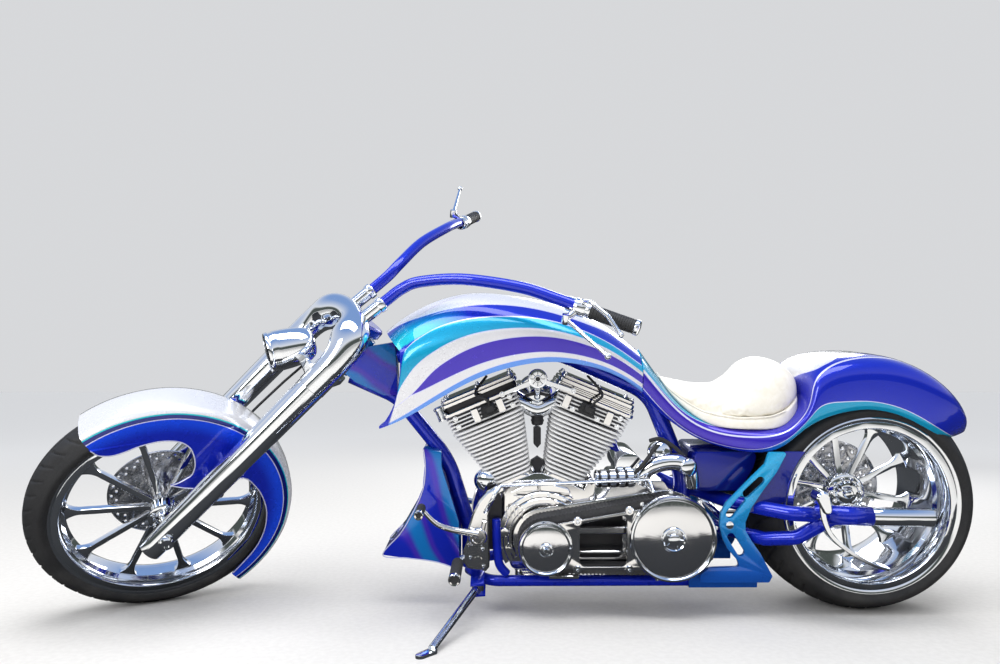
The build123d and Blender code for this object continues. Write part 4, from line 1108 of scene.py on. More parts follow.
def make_handlebars():
    """Both bars, their riser sleeves, the ribbed grips and the grips' chrome ends."""
    bars = [pipe("bar", points, 17.2, FRAME_BLUE, FORK, sides=28, samples=72)
            for points in (BAR_LINE, mirrored(BAR_LINE))]
    join("handlebar_tubes", bars, "fork", ("handlebars",))
    work = bmesh.new()
    rubber_work = bmesh.new()
    cap_work = bmesh.new()
    for flip in (1, -1):
        turn = Matrix.Diagonal((1, flip, 1, 1))
        seat = facing(RISER_FOOT, RISER_TOP - RISER_FOOT)
        lathe([(0, 0), (20, 0), (20, 62), (22.5, 63), (23.5, 66), (23.5, 78), (22.5, 81), (18.5, 82), (17.3, 84)],
              turn @ seat, 40, work)
        grip = facing(BAR_END, GRIP_END - BAR_END)
        ribs = [(17.4, -2), (21.5, -1), (22.5, 2), (22.5, 6), (20.5, 8)]
        for k in range(16):
            z = 12 + k * 6.6
            ribs += [(20.3, z), (20.6, z + 1.2), (20.6, z + 4.4), (20.3, z + 5.6), (19.7, z + 5.9), (19.7, z + 6.4)]
        ribs += [(20.5, 122), (20.5, 126), (17, 126)]
        lathe(ribs, turn @ grip, 40, rubber_work)
        lathe([(16, 126), (21.5, 126.5), (22.5, 129), (22.5, 134), (21.5, 137), (17, 139.5), (9, 141), (0, 141.5)],
              turn @ grip, 40, cap_work)
        lathe([(17.3, -76), (20, -75), (21, -72), (21, -40), (24, -38), (24, -24), (21, -22), (21, -14), (22, -10),
               (22, -4), (21, -2.5), (17.3, -2)], turn @ grip, 40, cap_work)
    for name, form, material, slot, nodes in (
        ("riser_sleeves", work, CHROME, "chrome", ()),
        ("grip_rubbers", rubber_work, BLACK_RUBBER, "grip_rubber", ("grips",)),
        ("grip_caps", cap_work, CHROME, "chrome", ()),
    ):
        outwards(form)
        own(finish(name, form, material, FORK), "fork", nodes)


# Tyres with real grooves
TYRE_STEPS = 560


def make_tyre(body, place, radius, half, rim, shoulder, groove):
    """Tyre as a closed grid whose crown is pressed in by the groove pattern."""
    name = body.replace("wheel", "tyre")
    rim_r, rim_half = rim
    a, r = shoulder
    wall = (rim_r + r) / 2 + 4
    bead = rim_half - 7
    key = [(-bead, rim_r - 12), (-bead - 1, rim_r), (-half + 4, wall - 14), (-half, wall), (-half + 7, wall + 12),
           (-a, r), (-0.72 * a, r + 0.62 * (radius - r)), (-0.38 * a, r + 0.91 * (radius - r)), (0, radius),
           (0.38 * a, r + 0.91 * (radius - r)), (0.72 * a, r + 0.62 * (radius - r)), (a, r),
           (half - 7, wall + 12), (half, wall), (half - 4, wall - 14), (bead + 1, rim_r), (bead, rim_r - 12)]
    section = smooth_line([(y, z, 0) for y, z in key], 96)
    work = bmesh.new()
    rings = []
    for i in range(TYRE_STEPS):
        angle = 2 * math.pi * i / TYRE_STEPS
        ring = []
        for p in section:
            y, reach = p.x, p.y
            depth = groove(y, angle) if reach > wall + 6 else 0.0
            if rim_r + 6 < reach < wall - 2 and abs(y) > bead:
                depth -= 0.5 * max(0.0, math.sin(reach * 1.4))
            inward = Vector((0.25 * (1 if y < 0 else -1) * min(abs(y) / a, 1.0), -1.0)).normalized()
            y, reach = y + inward.x * depth, reach + inward.y * depth
            ring.append(work.verts.new((reach * math.cos(angle), y, reach * math.sin(angle))))
        rings.append(ring)
    for one, two in zip(rings, rings[1:] + rings[:1]):
        for j in range(len(section) - 1):
            work.faces.new((one[j], one[j + 1], two[j + 1], two[j]))
        work.faces.new((one[-1], one[0], two[0], two[-1]))
    bmesh.ops.recalc_face_normals(work, faces=work.faces)
    own(finish(name + "_treaded", work, TYRE, place, 50), body, (name,))


def slot_depth(distance, width, depth):
    """Groove profile: full depth within half the width, with short sloped sides."""
    return depth * min(max((width / 2 + 1.2 - abs(distance)) / 2.4, 0.0), 1.0)


def front_groove(y, angle):
    """Two curved rows of grooves that sweep back from the middle."""
    arc = angle * FRONT_RADIUS
    pitch = 2 * math.pi * FRONT_RADIUS / 44
    lean = 0.014 * y * y
    first = (arc + lean + (pitch / 2 if y > 0 else 0)) % pitch - pitch / 2
    depth = slot_depth(first, 6.0, 3.2) if 7 < abs(y) < 44 else 0.0
    return max(depth, slot_depth(abs(y) - 3.0, 3.4, 2.6) if abs(y) < 9 else 0.0)


def rear_groove(y, angle):
    """Ring grooves and swept shoulder grooves of the wide tyre."""
    arc = angle * REAR_RADIUS
    pitch = 2 * math.pi * REAR_RADIUS / 40
    lean = 0.55 * abs(y) + 0.0016 * y * y
    cross = (arc + lean + (pitch / 2 if y > 0 else 0)) % pitch - pitch / 2
    depth = slot_depth(cross, 7.0, 4.0) if 30 < abs(y) < 128 else 0.0
    return max(depth, slot_depth(abs(y) - 26, 6.0, 4.0), slot_depth(y, 4.0, 3.0))


# Seat: padded top over a low skirt
SEAT_ROWS = [
    (-606, 724, 708, 716, 30), (-580, 703, 662, 676, 48), (-535, 680, 612, 638, 66), (-485, 671, 575, 608, 84),
    (-436, 668, 558, 596, 104), (-395, 678, 557, 592, 122), (-364, 712, 557, 592, 131), (-338, 750, 557, 593, 135),
    (-292, 768, 557, 598, 137), (-252, 758, 566, 612, 131), (-218, 736, 594, 640, 116), (-194, 706, 624, 664, 92),
]


def closed_loft(sections):
    """Closed form through matching rings, capped at both ends."""
    work = bmesh.new()
    rings = [[work.verts.new(p) for p in ring] for ring in sections]
    size = len(rings[0])
    for a, b in zip(rings, rings[1:]):
        for k in range(size):
            work.faces.new((a[k], a[(k + 1) % size], b[(k + 1) % size], b[k]))
    work.faces.new(list(reversed(rings[0])))
    work.faces.new(rings[-1])
    bmesh.ops.recalc_face_normals(work, faces=work.faces)
    return work


def ring_of(x, half_section):
    """Closed ring in a cross plane from its left half, bottom middle to top middle."""
    left = [Vector((x, -y, z)) for y, z in half_section]
    return left + [Vector((p.x, -p.y, p.z)) for p in reversed(left[1:-1])]


def make_seat():
    """Saddle: a swollen leather pad with a sewn edge on an upholstered skirt."""
    pad_rings, skirt_rings, seam = [], [], []
    for x, top, deck, lip, half in SEAT_ROWS:
        tall = top - lip
        inner = half - 3
        pad_rings.append(ring_of(x, [
            (0, lip - 6), (0.8 * inner, lip - 6), (inner, lip - 1), (inner + 1, lip + 0.16 * tall),
            (0.965 * inner, lip + 0.45 * tall), (0.84 * inner, lip + 0.74 * tall), (0.6 * inner, lip + 0.92 * tall),
            (0.3 * inner, lip + 0.985 * tall), (0, top - 4),
        ]))
        skirt_rings.append(ring_of(x, [
            (0, deck + 1), (half - 14, deck + 1), (half + 1, deck + 2), (half + 3, deck + 7), (half + 2, lip - 6),
            (half - 4, lip - 2), (half - 16, lip), (0, lip),
        ]))
        seam.append(Vector((x, -(half - 1), lip + 1)))
    pad = finish("seat_pad", closed_loft(pad_rings), LEATHER, BIKE, 60)
    subdivide(pad, 2)
    flatten(pad)
    swell(pad, voxel=0.0045, pressure=4.0, cap=0.012)
    subdivide(pad, 1)
    flatten(pad)
    pad.data.shade_smooth()
    own(pad, "root", ("seat",))
    skirt = finish("seat_skirt", closed_loft(skirt_rings), SKIRT, BIKE, 60)
    subdivide(skirt, 2)
    flatten(skirt)
    skirt.data.shade_smooth()
    own(skirt, "root")
    seam = seam[:-2]
    cords = [pipe("welt", line, 2.2, SKIRT, sides=10, samples=120) for line in (seam, mirrored(seam))]
    join("seat_welts", cords, "root")


def swell(obj, voxel, pressure, cap):
    """Cloth under pressure fills a pad out; no point moves further than the cap."""
    modifier(obj, "REMESH", mode="VOXEL", voxel_size=voxel)
    flatten(obj)
    start = [v.co.copy() for v in obj.data.vertices]
    cloth = modifier(obj, "CLOTH")
    change(cloth.settings, use_pressure=True, uniform_pressure_force=pressure, quality=5)
    cloth.settings.effector_weights.gravity = 0
    change(cloth.point_cache, frame_start=1, frame_end=20)
    scene = bpy.context.scene
    for moment in range(1, 21):
        scene.frame_set(moment)
    flatten(obj)
    scene.frame_set(1)
    for vertex, origin in zip(obj.data.vertices, start):
        step = vertex.co - origin
        if step.length > cap:
            vertex.co = origin + step.normalized() * cap


# Engine: finned barrels and heads, rocker boxes, intake and star cover
LEFT = Vector((0, -1, 0))
CYL_FOOT = Vector((-971, 0, 230))
CYL_LEAN = 22.5
FIN_COUNT = 15
FIN_PITCH = 12.6
STAR_ARM_ENDS = ((-1078, 660), (-868, 670))


def cylinder_place(sign):
    """Frame of a cylinder, Z along its axis: sign -1 leans forward, 1 rearward."""
    return BIKE @ Matrix.Translation(CYL_FOOT) @ Matrix.Rotation(math.radians(CYL_LEAN * sign), 4, "Y")


def make_cylinder(sign, label):
    """Barrel with growing fins, head with a plug recess, and rocker box in layers; the dark core between the fins, the
    dark plate in the head and the front rocker box's dark layer are painted shade.
    """
    place = cylinder_place(sign)
    fins = grown("fins", plate(bmesh.new(), rounded(122, 170, 26, 3 * sign), 193, 199, edge=1.6), FIN_STACK,
                 {"Count": FIN_COUNT, "Pitch": FIN_PITCH, "Shift": 0.1 * sign, "Growth": 0.062}, ALLOY, place)
    head_fins = grown("fins", plate(bmesh.new(), rounded(226, 146, 16, 8 * sign), 384, 389, edge=1.2), FIN_STACK,
                      {"Count": 4, "Pitch": 11.4, "Shift": 0.0, "Growth": 0.008}, ALLOY, place)
    join(f"{label}_fins", [fins, head_fins], "root", (f"cylinder_{label}",))
    solid = bmesh.new()
    plate(solid, rounded(118, 150, 18), 178, 190, edge=1.5)
    plate(solid, rounded(262, 150, 20), 430, 441, edge=2)
    plate(solid, rounded(246, 134, 16), 458, 470, edge=2)
    plate(solid, rounded(238, 128, 16), 471, 483, edge=4)
    for x in (-62 * sign - 14, 46 * sign + 14):
        plate(solid, rounded(22, 40, 4, x, 407), 70, 80.5, SIDE, 1.2)
    # Painted shade: a dark core seen between the barrel fins, a dark layer in the front rocker box and a dark plate
    # behind the head's fins and plug boot
    painted_shade = bmesh.new()
    lathe([(0, 182), (60, 182), (62, 395), (0, 395)], Matrix(), 48, painted_shade)
    if sign < 0:
        plate(painted_shade, rounded(232, 118, 16), 440, 459, edge=1)
    else:
        for z in (442, 447.5, 453):
            plate(solid, rounded(254, 142, 18), z, z + 4.4, edge=1)
    own(finish(f"{label}_rocker_box", solid, POLISHED, place), "root")
    plate(painted_shade, rounded(196, 48, 8, 6 * sign, 406), 50, 72, SIDE, 1)
    outwards(painted_shade)
    own(finish(f"{label}_barrel_core_painted_shade", painted_shade, DARK_METAL_AND_SHADE, place), "root")
    boot = bmesh.new()
    x = -10 * sign
    plate(boot, rounded(46, 34, 9, x, 408), 70, 92, SIDE, 3)
    plate(boot, rounded(30, 22, 7, x + 4, 412), 90, 104, SIDE, 4)
    for k in range(3):
        plate(boot, rounded(50, 3, 1.2, x, 399 + 9 * k), 72, 94, SIDE, 0.8)
    own(finish(f"{label}_plug_boot", boot, BLACK_RUBBER, place), "root")
    cap = [(x + side * 108, y, 483) for side in (-1, 0, 1) for y in (-52, 52)]
    spots = [(Vector(p), Vector((0, 0, 1))) for p in ((q[0] - x, q[1], q[2]) for q in cap)]
    spots += [(Vector((side * 118, -66, 441)), Vector((0, 0, 1))) for side in (-1, 1)]
    spots += [(Vector((side * 88 + 6 * sign, -72, z)), LEFT) for side in (-1, 1) for z in (394, 420)]
    spots += [(Vector((side * 40 - 10 * sign, -72, 392)), LEFT) for side in (-1, 1)]
    bolts(f"{label}_head_bolts", spots, "root", 5.5, 6, place)
    if sign < 0:
        ribs = [(0, 0), (16, 0), (16, 4)]
        for k in range(7):
            ribs += [(16, 5 + 4 * k), (14, 6 + 4 * k), (14, 7.5 + 4 * k), (16, 8.5 + 4 * k)]
        turned_piece("breather_cap", ribs + [(18, 34), (18, 40), (15, 43), (0, 44)],
                     place @ Matrix.Translation((-130, -48, 428)), CHROME, "root")
    lead = [(x, -90, 412), (x + 8, -112, 440), (x + 2 + 20 * sign, -84, 470), (x - 30 * sign, -30, 500)]
    own(pipe(f"{label}_plug_lead", lead, 4, BLACK_RUBBER, place, sides=12), "root")


def make_intake():
    """Manifold between the heads, a dark clamp ring with dark plates of painted shade under the star and in the V
    between the cylinders, the star cover with two arms and the right side's cleaner.
    """
    works = [pipe("tube", [(-1052, -16, 646), (-1010, -34, 622), (-971, -40, 606), (-932, -34, 622), (-890, -16, 646)],
                  25, CHROME, sides=28)]
    works.append(pipe("post", [(-971, -24, 640), (-971, -70, 676), (-971, -96, 704)], 12, CHROME))
    works.append(pipe("bridge", [(-971, -30, 640), (-971, 40, 640), (-971, 100, 640)], 30, CHROME, sides=32))
    work = bmesh.new()
    lathe([(0, 100), (50, 100), (56, 106), (56, 144), (50, 150), (0, 150)],
          Matrix.Translation((-971, 0, 640)) @ Matrix.Rotation(-math.pi / 2, 4, "X"), 64, work)
    star = side_at(-973, 706)
    lathe([(7, 92), (29, 92), (29, 104), (27, 108), (22, 109), (20, 107), (11, 107), (9, 110), (7, 110)], star, 48,
          work, closed=True)
    for end in STAR_ARM_ENDS:
        away = (Vector(end) - Vector((-973, 702))).normalized()
        wide = Vector((-away.y, away.x))
        foot, tip = Vector((-973, 702)) + away * 26, Vector(end)
        plate(work, [foot + wide * 8, tip + wide * 5, tip + away * 9, tip - wide * 5, foot - wide * 8],
              94, 101, SIDE, 1.2)
    outwards(work)
    works.append(finish("star", work, CHROME))
    join("intake_manifold", works, "root", ("intake",))
    # A dark clamp ring, and painted shade: a dark disc in the star's middle hole, a dark plate under the star and dark
    # plates in the V between the cylinders
    bands = bmesh.new()
    lathe([(0, 560), (15, 560), (18, 564), (18, 570), (20, 571), (20, 576), (18, 577), (18, 583), (21, 585), (21, 590),
           (17, 592), (0, 592)], Matrix.Translation((-971, -42, 0)), 40, bands)
    lathe([(0, 93), (6.9, 93), (6.9, 104), (0, 104)], star, 24, bands)
    plate(bands, [(-1012, 654), (-971, 664), (-930, 654), (-936, 646), (-971, 654), (-1006, 646)], 40, 60, SIDE, 1.5)
    plate(bands, [(-992, 448), (-971, 402), (-950, 448), (-971, 462)], 20, 50, SIDE, 1.5)
    plate(bands, [(-982, 500), (-971, 488), (-960, 500), (-960, 548), (-971, 556), (-982, 548)], 10, 40, SIDE, 1.5)
    outwards(bands)
    own(finish("intake_clamp_and_painted_shade", bands, DARK_METAL_AND_SHADE), "root")
    # Dark marks for the star's slots: painted shade
    slot = plate(bmesh.new(), rounded(8, 1.8, 0.8), 107, 108.2, edge=0.3)
    slots = grown("star_slots", slot, RING_OF_PARTS, {"Count": 8, "Radius": 16.0}, DARK_METAL_AND_SHADE, BIKE @ star)
    own(slots, "root")
    bolts("star_arm_bolts", [(Vector((x, -100, z)), LEFT) for x, z in STAR_ARM_ENDS], "root", 6, 6)


# Open belt primary drive
CRANK = (-955, 230)
CLUTCH = (-593, 258)
WINDOW_BOSSES = ((-864, 166), (-864, 306), (-716, 336), (-716, 166))


def brushed(name, matrix, low, high):
    """Polished alloy with lines that run out from the middle of a round cover."""
    material, tree, shader = new_material(name, Metallic=1.0)
    x, z = machine_place(tree, matrix)[0:3:2]
    angle = maths(tree, "ARCTAN2", z, x)
    radius = maths(tree, "SQRT", maths(tree, "ADD", maths(tree, "MULTIPLY", x, x), maths(tree, "MULTIPLY", z, z)))
    place = node(tree, "ShaderNodeCombineXYZ", {
        "X": maths(tree, "MULTIPLY", maths(tree, "SINE", angle), 34.0),
        "Y": maths(tree, "MULTIPLY", maths(tree, "COSINE", angle), 34.0),
        "Z": maths(tree, "MULTIPLY", radius, 0.012),
    }).outputs[0]
    lines = use(tree, LINES, {"Vector": place, "Low": low, "High": high})
    tree.links.new(lines["Value"], shader.inputs["Roughness"])
    shader.inputs["Base Color"].default_value = rgb(0.84, 0.84, 0.85)
    bump(tree, shader, lines["Height"], 0.12, 0.0004)
    return material


def make_primary():
    """Toothed belt, pulleys with turned covers, the window with a dark plate of painted shade behind it, and the screws
    of the outer plate.
    """
    belt = ring_plate(bmesh.new(), belt_line(CRANK, 80, CLUTCH, 114), belt_line(CRANK, 61, CLUTCH, 95), 118, 168, SIDE)
    band = finish("belt", belt, BELT)
    tooth = plate(bmesh.new(), rounded(5, 3, 1.2), 119, 169, SIDE, 0.6)
    spots = [(SIDE @ Vector((p.x, p.y, 0)), LEFT) for p in belt_line(CRANK, 81, CLUTCH, 115)]
    teeth = grown("teeth", mark(tooth, spots, chain=True), ROW_ALONG_LINE, {"Spacing": 11.0}, BELT)
    join("primary_belt_toothed", [band, teeth], "root", ("primary_belt",))
    for name, centre, pulley, cover, boss in (
        ("primary_pulley", CRANK, 59, 78, 20), ("clutch", CLUTCH, 93, 124, 36),
    ):
        place = BIKE @ side_at(*centre)
        turned_piece(f"{name}_body", [(0, 110), (40, 110), (40, 113), (pulley, 114), (pulley, 170), (30, 171),
                                      (30, 187), (0, 187)], place, ALLOY, "root", (name,))
        turned_piece(f"{name}_rim", [(cover - 12, 188), (cover, 188), (cover, 200), (cover - 2.5, 204.5),
                                     (cover - 7, 206), (cover - 10, 204), (cover - 12, 200)],
                     place, CHROME, "root")
        face = brushed(f"{name}_brushed", BIKE @ Matrix.Translation((centre[0], 0, centre[1])), 0.04, 0.14)
        turned_piece(f"{name}_face", [(0, 190), (cover - 12, 190), (cover - 12.5, 199), (cover - 16, 200.5),
                                      (boss + 6, 203.5), (0, 204)], place, face, "root")
        turned_piece(f"{name}_boss", [(0, 200), (boss, 200), (boss, 208), (boss - 2, 210), (boss - 5, 210.5),
                                      (boss - 8, 208), (boss * 0.5, 208), (boss * 0.42, 214), (boss * 0.3, 216),
                                      (0, 216)], place, CHROME, "root")
    arm = plate(bmesh.new(), [(-6, -3.2), (8, -2), (8, 2), (-6, 3.2)], 207, 213, edge=0.8)
    star = grown("clutch_star", arm, RING_OF_PARTS, {"Count": 5, "Radius": 18.0}, CHROME, BIKE @ side_at(*CLUTCH))
    own(star, "root")
    # Painted shade: a dark plate behind the window of the outer plate
    painted_shade = bmesh.new()
    plate(painted_shade, [(-866, 166), (-866, 304), (-714, 334), (-714, 166)], 97, 104, SIDE, 1)
    own(finish("primary_window_back_shade", painted_shade, DARK_METAL_AND_SHADE), "root")
    bars = bmesh.new()
    plate(bars, rounded(150, 22, 9, -790, 268), 140, 150, SIDE, 3)
    plate(bars, rounded(132, 10, 4, -790, 204), 140, 152, SIDE, 3)
    for x, z in WINDOW_BOSSES:
        lathe([(0, 180), (13, 180), (13, 188), (11, 190), (0, 190)], side_at(x, z), 24, bars)
    plate(bars, rounded(86, 9, 3, -902, 143), 168, 184, SIDE, 1.5)
    outwards(bars)
    own(finish("primary_window_bars", bars, POLISHED), "root")
    spots = [(Vector((x, -190, z)), LEFT) for x, z in WINDOW_BOSSES]
    for i in range(8):
        p = Vector(CLUTCH) + polar(i * 0.7 - 2.6, 128)
        spots.append((Vector((p.x, -180, p.y)), LEFT))
    bolts("primary_screws", spots, "root", 4.5, 5)


def sector(centre, inner, outer, start, end):
    """Outline of a ring's sector in the side view, angles in degrees."""
    turns = [math.radians(start + (end - start) * k / 26) for k in range(27)]
    rims = [[(centre[0] + r * math.cos(a), centre[1] + r * math.sin(a)) for a in turns] for r in (outer, inner)]
    return rims[0] + rims[1][::-1]


def make_crankcase_covers():
    """Stepped round cover behind the belt, deck plates under the cylinders and the regulator's dome."""
    work = bmesh.new()
    for inner, outer, high in ((96, 106, 104), (106, 122, 110), (122, 138, 101)):
        plate(work, sector(CRANK, inner, outer, 52, 214), 90, high, SIDE, 2)
    plate(work, [(-1052, 366), (-982, 399), (-974, 396), (-974, 372)], 90, 101, SIDE, 2)
    plate(work, [(-966, 372), (-966, 397), (-958, 399), (-884, 378), (-874, 362)], 90, 101, SIDE, 2)
    plate(work, [(-1046, 358), (-876, 354), (-866, 346), (-1020, 346)], 90, 98, SIDE, 1.5)
    for k in range(5):
        plate(work, rounded(4, 34, 1.6, -1064 + 11 * k, 316 - 4 * abs(k - 2)), 90, 112, SIDE, 1)
    lathe([(0, 90), (15, 90), (15, 108), (12, 111), (0, 112)], side_at(-1072, 250), 32, work)
    lathe([(0, 90), (10, 90), (10, 120), (0, 121)], side_at(-1060, 200), 24, work)
    outwards(work)
    own(finish("crankcase_covers", work, POLISHED), "root")
    # Painted shade: a dark plate in the gap in front of the crankcase
    painted_shade = plate(bmesh.new(), [(-1124, 196), (-1124, 390), (-1100, 392), (-1080, 350), (-1080, 196)], 96, 100, SIDE, 1)
    own(finish("crankcase_front_gap_shade", painted_shade, DARK_METAL_AND_SHADE), "root")
    spots = [(Vector((CRANK[0] + 130 * math.cos(a), -101, CRANK[1] + 130 * math.sin(a))), LEFT)
             for a in (math.radians(t) for t in range(62, 212, 22))]
    bolts("crankcase_screws", spots, "root", 4, 4)
    dome = facing((-1118, -34, 392), (-0.35, -0.9, 0.1))
    turned_piece("regulator_dome", [(0, 0), (34, 0), (35, 3), (35, 34), (33, 42), (26, 50), (14, 55), (0, 56)],
                 BIKE @ dome, CHROME, "root")
    tube = pipe("tube", [(-1096, -118, 292), (-1095, -118, 220), (-1088, -118, 160), (-1066, -112, 128)], 13,
                FRAME_BLUE)
    own(tube, "root")
    tube.name = "frame_front_stay"


def make_starter_details():
    """Banded starter motor, solenoid with its stud, cover elbow and the hoses above the clutch."""
    motor = facing((-806, -112, 410), (1, 0, 0.02))
    bands = [(0, 0), (22, 0), (27, 4)]
    for k in range(4):
        bands += [(27, 8 + 26 * k), (24, 9 + 26 * k), (24, 17 + 26 * k), (27, 18 + 26 * k)]
    turned_piece("starter_motor", bands + [(27, 112), (22, 118), (0, 118)], BIKE @ motor, CHROME, "root")
    rings = bmesh.new()
    for k in range(4):
        lathe([(20, 9.5 + 26 * k), (25.2, 9.5 + 26 * k), (25.2, 16.5 + 26 * k), (20, 16.5 + 26 * k)], motor, 40, rings,
              closed=True)
    outwards(rings)
    own(finish("starter_bands", rings, DARK_METAL_AND_SHADE), "root")
    elbow = [(-668, -104, 396), (-650, -108, 436), (-606, -112, 458), (-556, -112, 458), (-524, -110, 432),
             (-516, -108, 384)]
    works = [pipe("elbow", elbow, [(0, 19), (0.3, 25), (0.7, 26), (1, 20)], CHROME, sides=32)]
    solenoid = facing((-612, -60, 478), (0.25, -0.9, 0.25))
    work = lathe([(0, 0), (30, 0), (32, 3), (32, 40), (28, 47), (16, 52), (0, 53)], solenoid, 48)
    lathe([(0, 50), (7, 50), (7, 62), (0, 62)], solenoid, 20, work)
    lathe([(0, 0), (24, 0), (26, 6), (26, 22), (20, 28), (0, 30)], facing((-538, -116, 448), (0.3, -1, 0)), 40, work)
    outwards(work)
    works.append(finish("solenoid", work, CHROME))
    join("starter_covers", works, "root")
    hoses = [pipe("hose", points, 6, BLACK_RUBBER, sides=14) for points in (
        [(-724, -108, 424), (-690, -126, 432), (-655, -128, 470), (-628, -110, 500), (-590, -84, 512)],
        [(-640, -96, 520), (-606, -92, 524), (-566, -96, 500), (-540, -100, 474)],
    )]
    join("starter_hoses", hoses, "root")


# Forward controls: cast bracket, bent lever and two rubber pegs with ring ends on each side
BRACKET = [(-1073, 400), (-1096, 396), (-1124, 380), (-1148, 352), (-1166, 316), (-1178, 276), (-1181, 240),
           (-1193, 208), (-1194, 176), (-1180, 158), (-1158, 150), (-1127, 148), (-1117, 160), (-1115, 193),
           (-1117, 250), (-1118, 312), (-1108, 350), (-1092, 372), (-1070, 384)]


def make_controls():
    """Bracket, lever and pegs of one side, drawn twice and mirrored once."""
    metal_pieces, rubber_pieces, screws = [], [], []
    for flip in (1, -1):
        work = plate(bmesh.new(), BRACKET, 127, 151, SIDE, 5)
        plate(work, blade_outline([(-1130, 300), (-1140, 262), (-1160, 238), (-1180, 226)], [(0, 7), (1, 4)], 14),
              148, 160, SIDE, 3)
        lathe([(0, 150), (27, 150), (27, 160), (23, 166), (17, 166), (15, 163), (0, 163)], side_at(-1150, 252), 40,
              work)
        lathe([(0, 148), (13, 148), (13, 156), (0, 156)], side_at(-1150, 180), 32, work)
        outwards(work)
        metal_pieces.append(finish("bracket", work, POLISHED))
        lever = [(-1150, -162, 262), (-1188, -166, 270), (-1232, -176, 282), (-1270, -188, 303), (-1306, -198, 344)]
        stalk = [(-1186, -132, 186), (-1200, -150, 184), (-1208, -168, 181)]
        metal_pieces.append(pipe("lever", lever, [(0, 11), (0.25, 9), (0.7, 7.5), (1, 6.5)], POLISHED, sides=24))
        metal_pieces.append(pipe("stalk", stalk, 10, POLISHED, sides=24))
        for (x, y, z), length, r in (((-1208, -166, 181), 116, 16.5), ((-1308, -194, 350), 68, 12.5)):
            peg = facing((x, y, z), (-0.02, -1, -0.06))
            profile = [(0, 0), (r - 2, 0), (r - 1, 3)]
            for k in range(int(length / 9) - 1):
                profile += [(r, 4 + 9 * k), (r, 10 + 9 * k), (r - 1.2, 10.8 + 9 * k), (r - 1.2, 12.2 + 9 * k)]
            profile += [(r, length - 4), (r - 1, length - 2), (0, length - 2)]
            rubber_pieces.append(finish("peg", lathe(profile, peg, 32), BLACK_RUBBER))
            ring = lathe([(r - 5, length - 9), (r + 0.8, length - 9), (r + 0.8, length), (r - 1, length + 1.5),
                          (r - 5, length)], peg, 36, closed=True)
            metal_pieces.append(finish("ring", ring, CHROME))
        screws += [(Vector((x, -151, z)), LEFT) for x, z in ((-1134, 164), (-1172, 190), (-1136, 214), (-1102, 376))]
        if flip < 0:
            mirror = BIKE @ Matrix.Diagonal((1, -1, 1, 1)) @ BIKE.inverted()
            for piece in metal_pieces[len(metal_pieces) // 2:] + rubber_pieces[len(rubber_pieces) // 2:]:
                piece.data.transform(mirror)
                piece.data.flip_normals()
            screws[4:] = [(Vector((p.x, -p.y, p.z)), -LEFT) for p, _ in screws[4:]]
    join("forward_controls", metal_pieces, "root", ("controls",))
    join("peg_rubbers", rubber_pieces, "root")
    bolts("control_screws", screws, "root", 5, 5)


# Fork top: one arch that swells at its shoulders, crown plate, headlight bowl and its lens
LEG_RAKE = math.radians(45.6)
LEG_DIR = Vector((math.sin(LEG_RAKE), 0, math.cos(LEG_RAKE)))
LEG_HALF = 143
ARCH_FOOT = 655
CROWN_UP = 776
TREE_UP = 596
LAMP = Vector((-1788, 0, 812))
LAMP_AXIS = Vector((0.991, 0, 0.134)).normalized()


